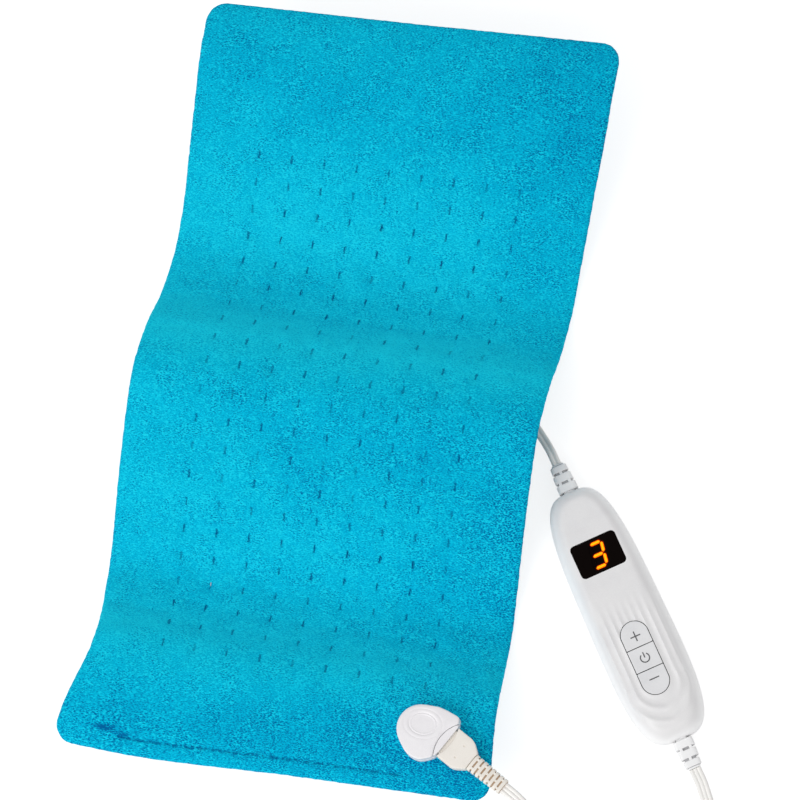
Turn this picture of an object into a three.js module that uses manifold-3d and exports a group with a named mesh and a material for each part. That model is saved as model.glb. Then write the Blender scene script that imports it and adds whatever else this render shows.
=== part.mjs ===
// Heating pad with a hand controller, lying on a flat surface. Millimetres, X across the pad,
// Y towards its top end, Z up. The origin is on the surface, at the middle of the pad's front
// trough, which is one of the two places where the wavy pad rests.

import * as THREE from 'three';
import { mergeVertices } from 'three/addons/utils/BufferGeometryUtils.js';
import Module from 'manifold-3d';

const wasm = await Module();
wasm.setup();

// Clearances that all pieces share
const FIT_GAP = 0.3;
const OVERRUN = 2;

// Pad: outline, thickness and seam
const PAD_LENGTH = 610;
const PAD_WIDTH = 305;
const PAD_THICKNESS = 10;
const PAD_CORNER_RADIUS = 15;
const COVER_WALL = 2.6;
const SEAM_THICKNESS = 3;
const SEAM_WIDTH = 12;
const CROWN_WIDTH = 22;
const REST_CUT = 0.5;

// Pad: its middle line from the top end down, each [run, height, sway] as shares of the pad's
// length, the wave's height and the pad's width
const WAVE_HEIGHT = 60;
const waveShares = [
  [0.6918, 1.01, 0.014], [0.6273, 0.95, 0.011], [0.5668, 0.695, 0.0075], [0.5073, 0.41, 0.0035],
  [0.4478, 0.127, 0], [0.3923, -0.008, -0.0035], [0.3308, 0.2, -0.0065], [0.2788, 0.605, -0.009],
  [0.2183, 0.82, -0.011], [0.1558, 0.64, -0.0115], [0.0948, 0.39, -0.0105], [0.0428, 0.147, -0.0085],
  [-0.0082, -0.004, -0.0053], [-0.0577, 0.18, -0.0005], [-0.1047, 0.525, 0.006],
  [-0.1322, 0.605, 0.01], [-0.1612, 0.625, 0.0145], [-0.1902, 0.61, 0.02], [-0.2342, 0.535, 0.0285],
];

// Pad: tack stitches
const TACK_COLUMNS = 9;
const TACK_ROWS = 21;
const TACK_SIDE_MARGIN = 54;
const TACK_TOP_MARGIN = 113.5;
const TACK_SOCKET_MARGIN = 29;
const TACK_DEPTH = 2;

// Pad: felts, heating wire and temperature sensor in the pocket
const FELT_MARGIN = 2;
const FELT_WIRE_GAP = 0.4;
const WIRE_DIAMETER = 1.4;
const WIRE_SEAM_MARGIN = 8;
const WIRE_RETURN_GAP = 9.5;
const WIRE_RISER_BEND = 1.2;
const SENSOR_DIAMETER = 1.4;
const SENSOR_LENGTH = 8;
const SENSOR_REACH = 46;

// Socket, placed from the pad's right side and bottom end; its own x runs towards the plug, and its
// outline is a band round four lobes, each given by its centre and radius
const SOCKET_SIDE_INSET = 49.5;
const SOCKET_END_INSET = 51.5;
const SOCKET_TURN = THREE.MathUtils.degToRad(-29);
const SOCKET_LOBES = [[0.5, -4.5, 17.3], [6, -9.3, 15.3], [6, 4, 12.6], [16, 13.3, 5.3]];
const SOCKET_BASE_POWER = 2.6;
const SOCKET_HEIGHT = 14;
const SOCKET_SPLIT = 7;
const SOCKET_SINK = 0.8;
const LIP_DROP = 1.4;
const LIP_FRONT = 24;
const LIP_FRONT_RADIUS = 30;
const LIP_BACK = 15.7;
const LIP_BACK_RADIUS = 25;
const DISH_RADIUS = 7.6;
const DISH_RIM_RADIUS = 10.8;
const DISH_GROOVE_WIDTH = 1.2;
const DISH_DEPTH = 0.5;
const CAVITY_BACK = 8;
const CAVITY_WIDTH = 21;
const CAVITY_LOW = 3;
const CAVITY_ROOF = 4;
const CHAMBER_LENGTH = 14;
const CHAMBER_BACK = -9;
const PIN_SPACING = 5;
const PIN_DIAMETER = 1.6;
const PIN_REACH = 8.4;
const PIN_BACK = -5;
const BORE_MARGIN = 2.8;
const BORE_PLACE = -2.5;
const SPOUT_WALL = 1.1;
const BASE_MARGIN = 3.4;
const SOCKET_SCREW_MARGIN = 3.2;
const SOCKET_SCREW_DIAMETER = 2.4;
const SOCKET_SCREW_HEAD = 4.4;
const SOCKET_SCREW_LENGTH = 7;

// Plug that the pad lead ends in
const PLUG_WIDTH = 25.2;
const PLUG_STRAIGHT = 12;
const PLUG_LENGTH = 19.5;
const PLUG_END_WIDTH = 14;
const PLUG_LOW = 1.3;
const PLUG_DROP = 2;
const PLUG_EDGE = 0.8;
const PLUG_PULL = 16;
const PIP_SPACING = 10.4;
const PIP_DIAMETER = 1.3;
const PIP_DEPTH = 0.6;
const PIP_PLACE = 9;
const CONTACT_OUTER = 3.4;
const CONTACT_LENGTH = 12;
const BOOT_LENGTH = 29;
const BOOT_WIDTH = 13.4;
const BOOT_HEIGHT = 8.4;
const BOOT_TAPER = 0.84;
const BOOT_RIBS = 8;
const BOOT_CORE_SHARE = 0.8;
const BOOT_ROOT = 5;

// Controller, lying on the surface; its own x runs towards the pad lead
const CONTROLLER_X = 230;
const CONTROLLER_Y = 18;
const CONTROLLER_TURN = THREE.MathUtils.degToRad(-56);
const CONTROLLER_LENGTH = 200;
const CONTROLLER_WIDTH = 58.5;
const CONTROLLER_HEIGHT = 26;
const CONTROLLER_SPLIT = 11;
const CASE_WALL = 2.2;
const OUTLINE_POWER = 3.6;
const OUTLINE_TAPER = 0.06;
const frontLevelShares = [[0, 0], [0.02, 0.25], [0.08, 0.53], [0.17, 0.77], [0.27, 0.92], [0.38, 1]];
const rearLevelShares = [[0.16, 0], [0.085, 0.11], [0.03, 0.32], [0.005, 0.64], [0, 1]];

// Controller: display
const WINDOW_WIDTH = 34.5;
const WINDOW_LENGTH = 25.5;
const WINDOW_CORNER = 3;
const WINDOW_END_INSET = 54.5;
const WINDOW_THICKNESS = 1.8;
const WINDOW_SINK = 0.2;
const DIFFUSER_THICKNESS = 0.8;
const DIGIT_HALF_HEIGHT = 8.8;
const DIGIT_HALF_WIDTH = 4.4;
const DIGIT_SLANT = THREE.MathUtils.degToRad(9);
const SEGMENT_THICKNESS = 2.3;
const SEGMENT_GAP = 1.3;
const MODULE_WIDTH = 30;
const MODULE_LENGTH = 22;
const MODULE_WALL = 1.5;

// Controller: keys in one capsule, their switches and plungers
const CAPSULE_END_INSET = 33.5;
const CAPSULE_LENGTH = 57;
const CAPSULE_WIDTH = 20.6;
const KEY_GAP = 0.3;
const KEY_PROUD = 0.5;
const KEY_EDGE = 0.4;
const KEY_MIDDLE_LENGTH = 17.8;
const KEY_FLANGE_WIDTH = 1.2;
const KEY_FLANGE_THICKNESS = 1.6;
const KEY_STEM_DIAMETER = 5;
const KEY_TRAVEL = 0.5;
const SWITCH_SIDE = 6.2;
const SWITCH_HEIGHT = 3.6;
const PLUNGER_DIAMETER = 3.2;
const PLUNGER_LENGTH = 2.8;
const PLUNGER_BORE_DEPTH = 2.3;

// Controller: circuit board and what stands on it
const BOARD_END_MARGIN = 7.5;
const BOARD_SIDE_MARGIN = 8.25;
const BOARD_THICKNESS = 1.6;
const BOARD_HEIGHT = 8;
const BOARD_PLACE = 1;
const BOARD_CORNER = 4;
const POST_DIAMETER = 5;
const POST_INSET = 7;
const FUSE_DIAMETER = 5.2;
const FUSE_LENGTH = 20;
const CAPACITOR_LENGTH = 18;
const CAPACITOR_WIDTH = 8;
const CAPACITOR_HEIGHT = 9.5;
const TRIAC_LENGTH = 10;
const TRIAC_WIDTH = 4.5;
const TRIAC_HEIGHT = 9;
const CHIP_LENGTH = 10;
const CHIP_WIDTH = 7.5;
const CHIP_HEIGHT = 2.3;
const PARTS_MARGIN = 5.5;
const PARTS_GAP = 4;
const PARTS_SIDE = 13;

// Controller: casing screws and their bosses
const BOSS_WALL = 0.5;
const BOSS_END_INSET = 18;
const BOSS_SIDE_INSET = 16.25;
const SCREW_DIAMETER = 2.8;
const SCREW_HEAD_DIAMETER = 5.4;
const SCREW_HEAD_HEIGHT = 2;
const SCREW_HEAD_SINK = 1;
const SCREW_LENGTH = 17;

// Controller: strain reliefs, outside stations as [distance, width] shares
const RELIEF_CENTRE = 9;
const RELIEF_LENGTH = 23;
const RELIEF_WIDTH = 15;
const RELIEF_HEIGHT = 9.6;
const RELIEF_NECK_WIDTH = 9;
const RELIEF_NECK_HEIGHT = 7;
const RELIEF_ROOT = 3;
const RELIEF_POWER = 3.4;
const reliefShares = [
  [0.04, 1], [0.3, 1], [0.3, 0.62], [0.39, 0.62], [0.39, 0.92], [0.66, 0.9], [0.66, 0.6],
  [0.76, 0.6], [0.76, 0.76], [0.85, 0.76], [0.85, 0.64], [1, 0.6],
];

// Cores inside the controller
const CORE_DIAMETER = 2;
const CORE_SPACING = 3;

// Leads: the mains lead has two cores and the pad lead has three
const MAINS_WIDTH = 7;
const MAINS_THICKNESS = 3.5;
const PAD_LEAD_WIDTH = 9;
const PAD_LEAD_THICKNESS = 3.4;
const LEAD_FLOOR_GAP = 0.15;

// Coil of the mains lead, wound on edge in two layers under the pad's arch
const COIL_ACROSS_SHARE = 0.236;
const COIL_ALONG_SHARE = 0.195;
const COIL_OUTER_RADIUS = 48.6;
const COIL_TURN_GAP = 0.9;
const COIL_LAYER_GAP = 0.8;
const COIL_TURNS = 6;
const COIL_CLIMB_TURNS = 0.5;
const COIL_STEPS_A_TURN = 24;
const TIE_THICKNESS = 0.8;
const TIE_WIDTH = 12;
const TIE_ANGLE = THREE.MathUtils.degToRad(200);

// Mains plug with two flat blades
const MAINS_PLUG_X = 0;
const MAINS_PLUG_CENTRE = 8.4;
const BODY_LENGTH = 32;
const BODY_WIDTH = 23;
const BODY_HEIGHT = 16;
const TAIL_LENGTH = 25;
const TAIL_WIDTH = 9.5;
const TAIL_HEIGHT = 6.5;
const BLADE_SPACING = 12.7;
const BLADE_LENGTH = 17.5;
const BLADE_WIDTH = 6.3;
const BLADE_THICKNESS = 1.5;
const BLADE_ROOT = 6;
const BLADE_HOLE = 3.1;

// Counts of facets
const ROUND_SIDES = 16;
const CASE_SIDES = 36;
const TUBE_SIDES = 5;
const FLAT_SIDES = 8;
const BEND_STEPS = 2;

// Finishes
const finish = (color, roughness, metalness = 0) =>
  new THREE.MeshStandardMaterial({ color, roughness, metalness });
const plush = finish(0x08a6d0, 0.95);
const felt = finish(0xe8e4dc, 0.95);
const wireRed = finish(0xb8453a, 0.6);
const whitePlastic = finish(0xf2f2f0, 0.35);
const creamPlastic = finish(0xece4d8, 0.45);
const blackGloss = finish(0x0a0808, 0.1);
const amber = finish(0xffb010, 0.4);
const brass = finish(0xc9a24a, 0.3, 0.9);
const steel = finish(0xc8c8cc, 0.3, 0.9);
const boardGreen = finish(0x1f6b3a, 0.6);
const darkPlastic = finish(0x202022, 0.5);
const keyGrey = finish(0xe6e6e4, 0.4);
const leadWhite = finish(0xefefed, 0.45);
const copper = finish(0xb87333, 0.4, 0.7);

// Solids: bodies are made once their vertices are merged, with their faces turned outwards

/** Merges a geometry's vertices and turns its faces outwards. */
function closed(geometry) {
  const bare = new THREE.BufferGeometry();
  bare.setAttribute('position', geometry.getAttribute('position').clone());
  if (geometry.index) {
    bare.setIndex(geometry.index.clone());
  }
  const merged = mergeVertices(bare, 1e-5);
  const place = merged.getAttribute('position');
  const index = merged.index.array;
  const corners = [new THREE.Vector3(), new THREE.Vector3(), new THREE.Vector3()];
  let volume = 0;
  for (let i = 0; i < index.length; i += 3) {
    corners.forEach((corner, k) => corner.fromBufferAttribute(place, index[i + k]));
    volume += corners[0].dot(corners[1].clone().cross(corners[2]));
  }
  if (volume < 0) {
    for (let i = 0; i < index.length; i += 3) {
      [index[i + 1], index[i + 2]] = [index[i + 2], index[i + 1]];
    }
  }
  return merged;
}

/** The solid of a closed geometry. */
function solid(geometry) {
  const merged = closed(geometry);
  return new wasm.Manifold(new wasm.Mesh({
    numProp: 3,
    vertProperties: new Float32Array(merged.getAttribute('position').array),
    triVerts: new Uint32Array(merged.index.array),
  }));
}

/** The geometry of a solid. */
function geometryOf(body) {
  const mesh = body.getMesh();
  const geometry = new THREE.BufferGeometry();
  geometry.setAttribute('position', new THREE.BufferAttribute(new Float32Array(mesh.vertProperties), 3));
  geometry.setIndex(new THREE.BufferAttribute(new Uint32Array(mesh.triVerts), 1));
  return geometry;
}

/** A geometry with others cut away. */
function cut(geometry, ...others) {
  return geometryOf(others.reduce((body, other) => body.subtract(solid(other)), solid(geometry)));
}

/** Geometries joined into one. */
function join(geometry, ...others) {
  return geometryOf(others.reduce((body, other) => body.add(solid(other)), solid(geometry)));
}

/** What two geometries share. */
function common(geometry, other) {
  return geometryOf(solid(geometry).intersect(solid(other)));
}

/** A box from one corner to the other. */
function block(low, high) {
  const size = high.map((value, k) => value - low[k]);
  const geometry = new THREE.BoxGeometry(...size);
  return geometry.translate(...low.map((value, k) => value + size[k] / 2));
}

/** An upright cylinder. */
function post(x, y, radius, low, high, sides = ROUND_SIDES) {
  const geometry = new THREE.CylinderGeometry(radius, radius, high - low, sides);
  return geometry.rotateX(Math.PI / 2).translate(x, y, (low + high) / 2);
}

/** A cylinder that lies along x. */
function rod(start, end, y, z, radius, sides = ROUND_SIDES) {
  const geometry = new THREE.CylinderGeometry(radius, radius, end - start, sides);
  return geometry.rotateZ(Math.PI / 2).translate((start + end) / 2, y, z);
}

/** An outline drawn up from one height to another. */
function prism(shape, low, high, curveSegments = 8) {
  const geometry = new THREE.ExtrudeGeometry(shape, { depth: high - low, bevelEnabled: false, curveSegments });
  return geometry.translate(0, 0, low);
}

/** An outline drawn up, with its top edge broken by a small bevel. */
function softPrism(shape, low, high, edge, curveSegments = 6) {
  const geometry = new THREE.ExtrudeGeometry(shape, {
    depth: high - low - edge, bevelThickness: edge, bevelSize: edge, bevelOffset: -edge, bevelSegments: 1, curveSegments,
  });
  geometry.translate(0, 0, low);
  return cut(geometry, block(
    [-CONTROLLER_LENGTH, -CONTROLLER_LENGTH, low - edge - OVERRUN],
    [CONTROLLER_LENGTH, CONTROLLER_LENGTH, low],
  ));
}

/** A rectangle with round corners, centred on a point. */
function roundRect(x, y, length, width, radius) {
  const shape = new THREE.Shape();
  const [left, right, low, high] = [x - length / 2, x + length / 2, y - width / 2, y + width / 2];
  shape.moveTo(left + radius, low);
  shape.lineTo(right - radius, low);
  shape.absarc(right - radius, low + radius, radius, -Math.PI / 2, 0);
  shape.lineTo(right, high - radius);
  shape.absarc(right - radius, high - radius, radius, 0, Math.PI / 2);
  shape.lineTo(left + radius, high);
  shape.absarc(left + radius, high - radius, radius, Math.PI / 2, Math.PI);
  shape.lineTo(left, low + radius);
  shape.absarc(left + radius, low + radius, radius, Math.PI, Math.PI * 1.5);
  return shape;
}

/** A shape through points. */
function outline(points) {
  return new THREE.Shape(points.map(([x, y]) => new THREE.Vector2(x, y)));
}

/** Points of an oval between an ellipse (power 2) and a rectangle. */
function oval(count, halfLength, halfWidth, power) {
  return Array.from({ length: count }, (_, k) => {
    const angle = ((k + 0.5) / count) * Math.PI * 2;
    const [c, s] = [Math.cos(angle), Math.sin(angle)];
    return [
      halfLength * Math.sign(c) * Math.abs(c) ** (2 / power),
      halfWidth * Math.sign(s) * Math.abs(s) ** (2 / power),
    ];
  });
}

/** A closed body through rings of equally many points. */
function loft(rings) {
  const count = rings[0].length;
  const positions = rings.flat().flatMap((p) => [p.x, p.y, p.z]);
  const faces = [];
  for (let i = 0; i + 1 < rings.length; i += 1) {
    for (let k = 0; k < count; k += 1) {
      const [a, b] = [i * count + k, i * count + ((k + 1) % count)];
      faces.push(a, b, b + count, a, b + count, a + count);
    }
  }
  const last = (rings.length - 1) * count;
  for (let k = 1; k + 1 < count; k += 1) {
    faces.push(0, k + 1, k, last, last + k, last + k + 1);
  }
  const geometry = new THREE.BufferGeometry();
  geometry.setAttribute('position', new THREE.Float32BufferAttribute(positions, 3));
  geometry.setIndex(faces);
  return geometry;
}

/** A round tube along points that are already rounded at their bends. */
function tube(points, radius, sides = TUBE_SIDES) {
  const tangents = points.map((_, i) => {
    const before = points[Math.max(i - 1, 0)];
    const after = points[Math.min(i + 1, points.length - 1)];
    return after.clone().sub(before).normalize();
  });
  const side = new THREE.Vector3(0, 0, 1).cross(tangents[0]);
  if (side.length() < 0.5) {
    side.set(1, 0, 0);
  }
  return loft(points.map((point, i) => {
    side.addScaledVector(tangents[i], -side.dot(tangents[i])).normalize();
    const up = tangents[i].clone().cross(side);
    return Array.from({ length: sides }, (_, k) => {
      const angle = (k / sides) * Math.PI * 2;
      return point.clone().addScaledVector(side, radius * Math.cos(angle)).addScaledVector(up, radius * Math.sin(angle));
    });
  }));
}

/** A polyline with its corners rounded, each by its own radius. */
function rounded(points, radii, steps = BEND_STEPS) {
  const out = [points[0]];
  for (let i = 1; i + 1 < points.length; i += 1) {
    const to = points[i - 1].clone().sub(points[i]);
    const from = points[i + 1].clone().sub(points[i]);
    const turn = Math.PI - to.angleTo(from);
    const reach = Math.min(radii[i] * Math.tan(turn / 2), to.length() / 2, from.length() / 2);
    const [start, end] = [to, from].map((way) => points[i].clone().addScaledVector(way.normalize(), reach));
    const bend = new THREE.QuadraticBezierCurve3(start, points[i], end);
    out.push(...bend.getPoints(steps));
  }
  out.push(points.at(-1));
  return out.filter((point, i) => i === 0 || point.distanceTo(out[i - 1]) > FIT_GAP);
}

/** Numbers evenly spaced from one to another, both included. */
function spread(from, to, steps) {
  return Array.from({ length: steps + 1 }, (_, i) => from + ((to - from) * i) / steps);
}

// Scene graph

const object = new THREE.Group();

/** Adds a named mesh to a group. */
function piece(name, geometry, material, parent = object) {
  const mesh = new THREE.Mesh(closed(geometry), material);
  mesh.name = name;
  parent.add(mesh);
  return mesh;
}

// Pad surface: s runs down from the top end, x across from the middle, lift off the middle

const middleLine = new THREE.CatmullRomCurve3(waveShares.map(([run, height, sway]) => new THREE.Vector3(
  sway * PAD_WIDTH,
  run * PAD_LENGTH,
  height * WAVE_HEIGHT + PAD_THICKNESS / 2 - REST_CUT,
)));
middleLine.arcLengthDivisions = 600;

/** A point of the pad. */
function padPoint(s, x, lift) {
  const share = THREE.MathUtils.clamp(s / PAD_LENGTH, 0, 1);
  const way = middleLine.getTangentAt(share);
  const up = new THREE.Vector3(0, way.z, -way.y).normalize();
  const point = middleLine.getPointAt(share).addScaledVector(up, lift);
  point.x += x;
  return point;
}

/** How far a place of the pad lies inside its outline. */
function edgeDistance(s, x) {
  const across = Math.abs(x) - (PAD_WIDTH / 2 - PAD_CORNER_RADIUS);
  const along = Math.abs(s - PAD_LENGTH / 2) - (PAD_LENGTH / 2 - PAD_CORNER_RADIUS);
  const outside = Math.hypot(Math.max(across, 0), Math.max(along, 0));
  return PAD_CORNER_RADIUS - outside - Math.min(Math.max(across, along), 0);
}

/** The cover's outer surface over a place of the pad. */
function crownLift(s, x) {
  const share = THREE.MathUtils.clamp(edgeDistance(s, x) / CROWN_WIDTH, 0, 1);
  return SEAM_THICKNESS / 2 + ((PAD_THICKNESS - SEAM_THICKNESS) / 2) * Math.sqrt(share * (2 - share));
}

/** Half the pad's width at a place along it. */
function halfWidthAt(s) {
  const past = Math.max(PAD_CORNER_RADIUS - Math.min(s, PAD_LENGTH - s), 0);
  return PAD_WIDTH / 2 - PAD_CORNER_RADIUS + Math.sqrt(Math.max(PAD_CORNER_RADIUS ** 2 - past ** 2, 0));
}

const tackPitchAcross = (PAD_WIDTH - 2 * TACK_SIDE_MARGIN) / (TACK_COLUMNS - 1);
const tackBottomMargin = SOCKET_END_INSET + TACK_SOCKET_MARGIN;
const tackPitchAlong = (PAD_LENGTH - TACK_TOP_MARGIN - tackBottomMargin) / (TACK_ROWS - 1);
const cornerShares = [0, 0.12, 0.42, 1];
const crownShares = [0, 0.08, 0.34, 1];

/** Lines of the cover's grid between two ends, with the tacks' cells between them. */
function gridLines(length, first, pitch, count, shares, reach, extra) {
  const start = first - pitch / 2;
  const end = start + pitch * count;
  const edge = shares.map((share) => share * reach);
  const lead = spread(reach, start, extra[0]).slice(1, -1);
  const trail = spread(end, length - reach, extra[1]).slice(1, -1);
  const before = [...edge, ...lead].filter((place) => place < start);
  const after = [...trail, ...edge.map((place) => length - place)].filter((place) => place > end);
  const lines = [...before, ...spread(start, end, count), ...after].sort((a, b) => a - b);
  return { lines, start, end };
}

const acrossGrid = gridLines(
  PAD_WIDTH, TACK_SIDE_MARGIN, tackPitchAcross, TACK_COLUMNS, crownShares, CROWN_WIDTH, [1, 1]);
const alongGrid = gridLines(
  PAD_LENGTH, TACK_TOP_MARGIN, tackPitchAlong, TACK_ROWS, cornerShares, PAD_CORNER_RADIUS, [5, 3]);

/** A point of the pad as its pieces follow it: straight between the rows of the grid. */
function foldPoint(s, x, lift) {
  const rows = alongGrid.lines;
  const next = THREE.MathUtils.clamp(rows.findIndex((row) => row > s), 1, rows.length - 1);
  const [from, to] = s < PAD_LENGTH ? [rows[next - 1], rows[next]] : rows.slice(-2);
  return padPoint(from, x, lift).lerp(padPoint(to, x, lift), (s - from) / (to - from));
}

/** One cover without its pocket: side 1 is the front and -1 the back, which has fewer columns. */
function coverBlock(side, tacks) {
  const rows = alongGrid.lines;
  const columns = acrossGrid.lines.filter((x, j) => (
    tacks || Math.min(x, PAD_WIDTH - x) <= CROWN_WIDTH + FIT_GAP));
  const positions = [];
  const faces = [];
  const add = (point) => positions.push(point.x, point.y, point.z) / 3 - 1;
  const placeX = (s, column) => (column - PAD_WIDTH / 2) * (halfWidthAt(s) / (PAD_WIDTH / 2));
  const outer = rows.map((s) => columns.map((column) => {
    const x = placeX(s, column);
    return add(padPoint(s, x, side * crownLift(s, x)));
  }));
  const inner = rows.map((s) => [-1, 1].map((k) => add(padPoint(s, k * halfWidthAt(s), (side * FIT_GAP) / 2))));
  const inTacks = ({ start, end }, a, b) => a >= start - FIT_GAP && b <= end + FIT_GAP;
  const last = columns.length - 1;
  for (let i = 0; i + 1 < rows.length; i += 1) {
    for (let j = 0; j < last; j += 1) {
      const [a, b, c, d] = [outer[i][j], outer[i][j + 1], outer[i + 1][j + 1], outer[i + 1][j]];
      const s = (rows[i] + rows[i + 1]) / 2;
      const x = placeX(s, (columns[j] + columns[j + 1]) / 2);
      if (tacks && inTacks(alongGrid, rows[i], rows[i + 1]) && inTacks(acrossGrid, columns[j], columns[j + 1])) {
        const tack = add(padPoint(s, x, side * (crownLift(s, x) - TACK_DEPTH)));
        faces.push(a, b, tack, b, c, tack, c, d, tack, d, a, tack);
      } else {
        faces.push(a, b, c, a, c, d);
      }
    }
    const [l0, r0, l1, r1] = [...inner[i], ...inner[i + 1]];
    faces.push(r0, l0, l1, r0, l1, r1);
    faces.push(l0, outer[i][0], outer[i + 1][0], l0, outer[i + 1][0], l1);
    faces.push(outer[i][last], r0, r1, outer[i][last], r1, outer[i + 1][last]);
  }
  [[0, 1], [rows.length - 1, -1]].forEach(([i, turn]) => {
    const rim = [...outer[i], inner[i][1]];
    for (let j = 0; j + 1 < rim.length; j += 1) {
      const pair = turn > 0 ? [rim[j + 1], rim[j]] : [rim[j], rim[j + 1]];
      faces.push(inner[i][0], ...pair);
    }
  });
  const geometry = new THREE.BufferGeometry();
  geometry.setAttribute('position', new THREE.Float32BufferAttribute(positions, 3));
  geometry.setIndex(faces);
  return geometry;
}

/** A layer of the pad between two lifts, inset from the pad's outline. */
function layer(inset, low, high) {
  const rows = [inset, ...alongGrid.lines.filter((s) => s > inset && s < PAD_LENGTH - inset), PAD_LENGTH - inset];
  const half = PAD_WIDTH / 2 - inset;
  return loft(rows.map((s) => [
    foldPoint(s, -half, low), foldPoint(s, half, low), foldPoint(s, half, high), foldPoint(s, -half, high),
  ]));
}

// Socket frame: its group stands on the pad's crest, turned towards the plug

const socketAlong = PAD_LENGTH - SOCKET_END_INSET;
const socketAcross = PAD_WIDTH / 2 - SOCKET_SIDE_INSET;
const socketFoot = foldPoint(socketAlong, socketAcross, PAD_THICKNESS / 2);
const seatHeight = socketFoot.z - SOCKET_SINK;
const socket = new THREE.Group();
socket.position.set(socketFoot.x, socketFoot.y, seatHeight);
socket.rotation.z = SOCKET_TURN;
socket.updateMatrixWorld();
object.add(socket);

/** A geometry of the socket's frame, placed on the pad. */
function onPad(geometry) {
  return geometry.applyMatrix4(socket.matrixWorld);
}

/** The socket's outline, a band stretched round its lobes, grown and drawn between two heights. */
function socketPrism(grow, low, high) {
  const points = oval(ROUND_SIDES * 1.75, 1, 1, 2).map(([c, s]) => {
    const [x, y, radius] = SOCKET_LOBES.reduce((far, lobe) => {
      const reach = (one) => one[0] * c + one[1] * s + one[2];
      return reach(lobe) > reach(far) ? lobe : far;
    });
    return [x + c * (radius + grow), y + s * (radius + grow)];
  });
  const egg = prism(outline(points), low, high);
  const front = LIP_FRONT - LIP_FRONT_RADIUS;
  return common(egg, post(front, 0, LIP_FRONT_RADIUS + grow, low - OVERRUN, high + OVERRUN, ROUND_SIDES * 3));
}

// Pad covers

const pocketHalf = PAD_THICKNESS / 2 - COVER_WALL;
const wireRadius = WIRE_DIAMETER / 2;
const pocket = layer(SEAM_WIDTH, -pocketHalf, pocketHalf);
const boreTop = SOCKET_HEIGHT + OVERRUN;
const boreLow = -PAD_THICKNESS / 2 + SOCKET_SINK;
const boreRadius = PIN_SPACING + BORE_MARGIN;
const socketScrewReach = boreRadius + SOCKET_SCREW_MARGIN;
const baseHalf = socketScrewReach + BASE_MARGIN;
const coverBore = onPad(post(BORE_PLACE, 0, boreRadius + FIT_GAP, boreLow, boreTop));
const socketScrewPlaces = [-1, 1].map((side) => [BORE_PLACE, side * socketScrewReach]);
const screwBores = (radius, low, high) => socketScrewPlaces.map(([x, y]) => post(x, y, radius, low, high, TUBE_SIDES * 2));
const coverScrewBores = screwBores(SOCKET_SCREW_DIAMETER / 2 + FIT_GAP, boreLow, boreTop).map(onPad);
const seatCut = onPad(socketPrism(FIT_GAP, -FIT_GAP, SOCKET_HEIGHT));
const floorCut = block(
  [-PAD_WIDTH, -PAD_LENGTH, -PAD_THICKNESS],
  [PAD_WIDTH, PAD_LENGTH, 0],
);
const baseOutline = (grow) => outline(
  oval(ROUND_SIDES * 1.25, baseHalf + grow, baseHalf + grow, SOCKET_BASE_POWER)
    .map(([x, y]) => [x + BORE_PLACE, y]));
const coverTopLow = -COVER_WALL + SOCKET_SINK;
const baseTop = coverTopLow - FIT_GAP;
const baseLow = SOCKET_SINK - PAD_THICKNESS / 2 + wireRadius + FIT_GAP;
const baseCut = onPad(prism(baseOutline(FIT_GAP), baseLow - COVER_WALL, coverTopLow));
piece('front_cover', cut(coverBlock(1, true), pocket, coverBore, ...coverScrewBores, seatCut, baseCut), plush);
piece('back_cover', cut(coverBlock(-1, false), pocket, floorCut), plush);

// Felts on either side of the wire, the front one cut out round the socket's base

const feltOuter = pocketHalf - FIT_GAP;
const feltInner = wireRadius + FELT_WIRE_GAP;
const feltInset = SEAM_WIDTH + FELT_MARGIN;
const feltCut = onPad(prism(baseOutline(FIT_GAP), baseLow - COVER_WALL, baseTop + COVER_WALL));
piece('front_felt', cut(layer(feltInset, feltInner, feltOuter), feltCut), felt);
piece('back_felt', layer(feltInset, -feltOuter, -feltInner), felt);

// Heating wire: one length from the socket's bore, across the pad between the rows of tacks, and
// back down the right side. Its corners are [x, s, lift] before they are rounded and laid.

const cavityHigh = SOCKET_HEIGHT - CAVITY_ROOF;
const pinHeight = (CAVITY_LOW + cavityHigh) / 2;

/** Where a wire rises in the socket's bore, as its foot and its top. */
function riser(side) {
  const way = new THREE.Vector2(BORE_PLACE, side * PIN_SPACING).rotateAround(new THREE.Vector2(), SOCKET_TURN);
  const [x, s] = [socketAcross + way.x, socketAlong - way.y];
  const lift = seatHeight + pinHeight - PIN_DIAMETER / 2 - FIT_GAP - foldPoint(s, x, 0).z;
  return { x, s, foot: [x, s, 0, WIRE_RISER_BEND], top: [x, s, lift, 0] };
}

/** A wire through corners [x, s, lift, bend radius], split at the grid's rows and laid on the pad. */
function laidWire(corners) {
  const flat = rounded(
    corners.map(([x, s, lift]) => new THREE.Vector3(x, s, lift)), corners.map((corner) => corner[3]));
  const dense = flat.flatMap((point, i) => {
    const next = flat[i + 1] ?? point;
    const crossed = alongGrid.lines
      .map((row) => (row - point.y) / (next.y - point.y))
      .filter((share) => share > 0 && share < 1)
      .sort((a, b) => a - b);
    return [point, ...crossed.map((share) => point.clone().lerp(next, share))];
  });
  const laid = dense.map((point) => foldPoint(point.y, point.x, point.z));
  return tube(laid.filter((point, i) => i === 0 || point.distanceTo(laid[i - 1]) > FIT_GAP), wireRadius);
}

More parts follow.
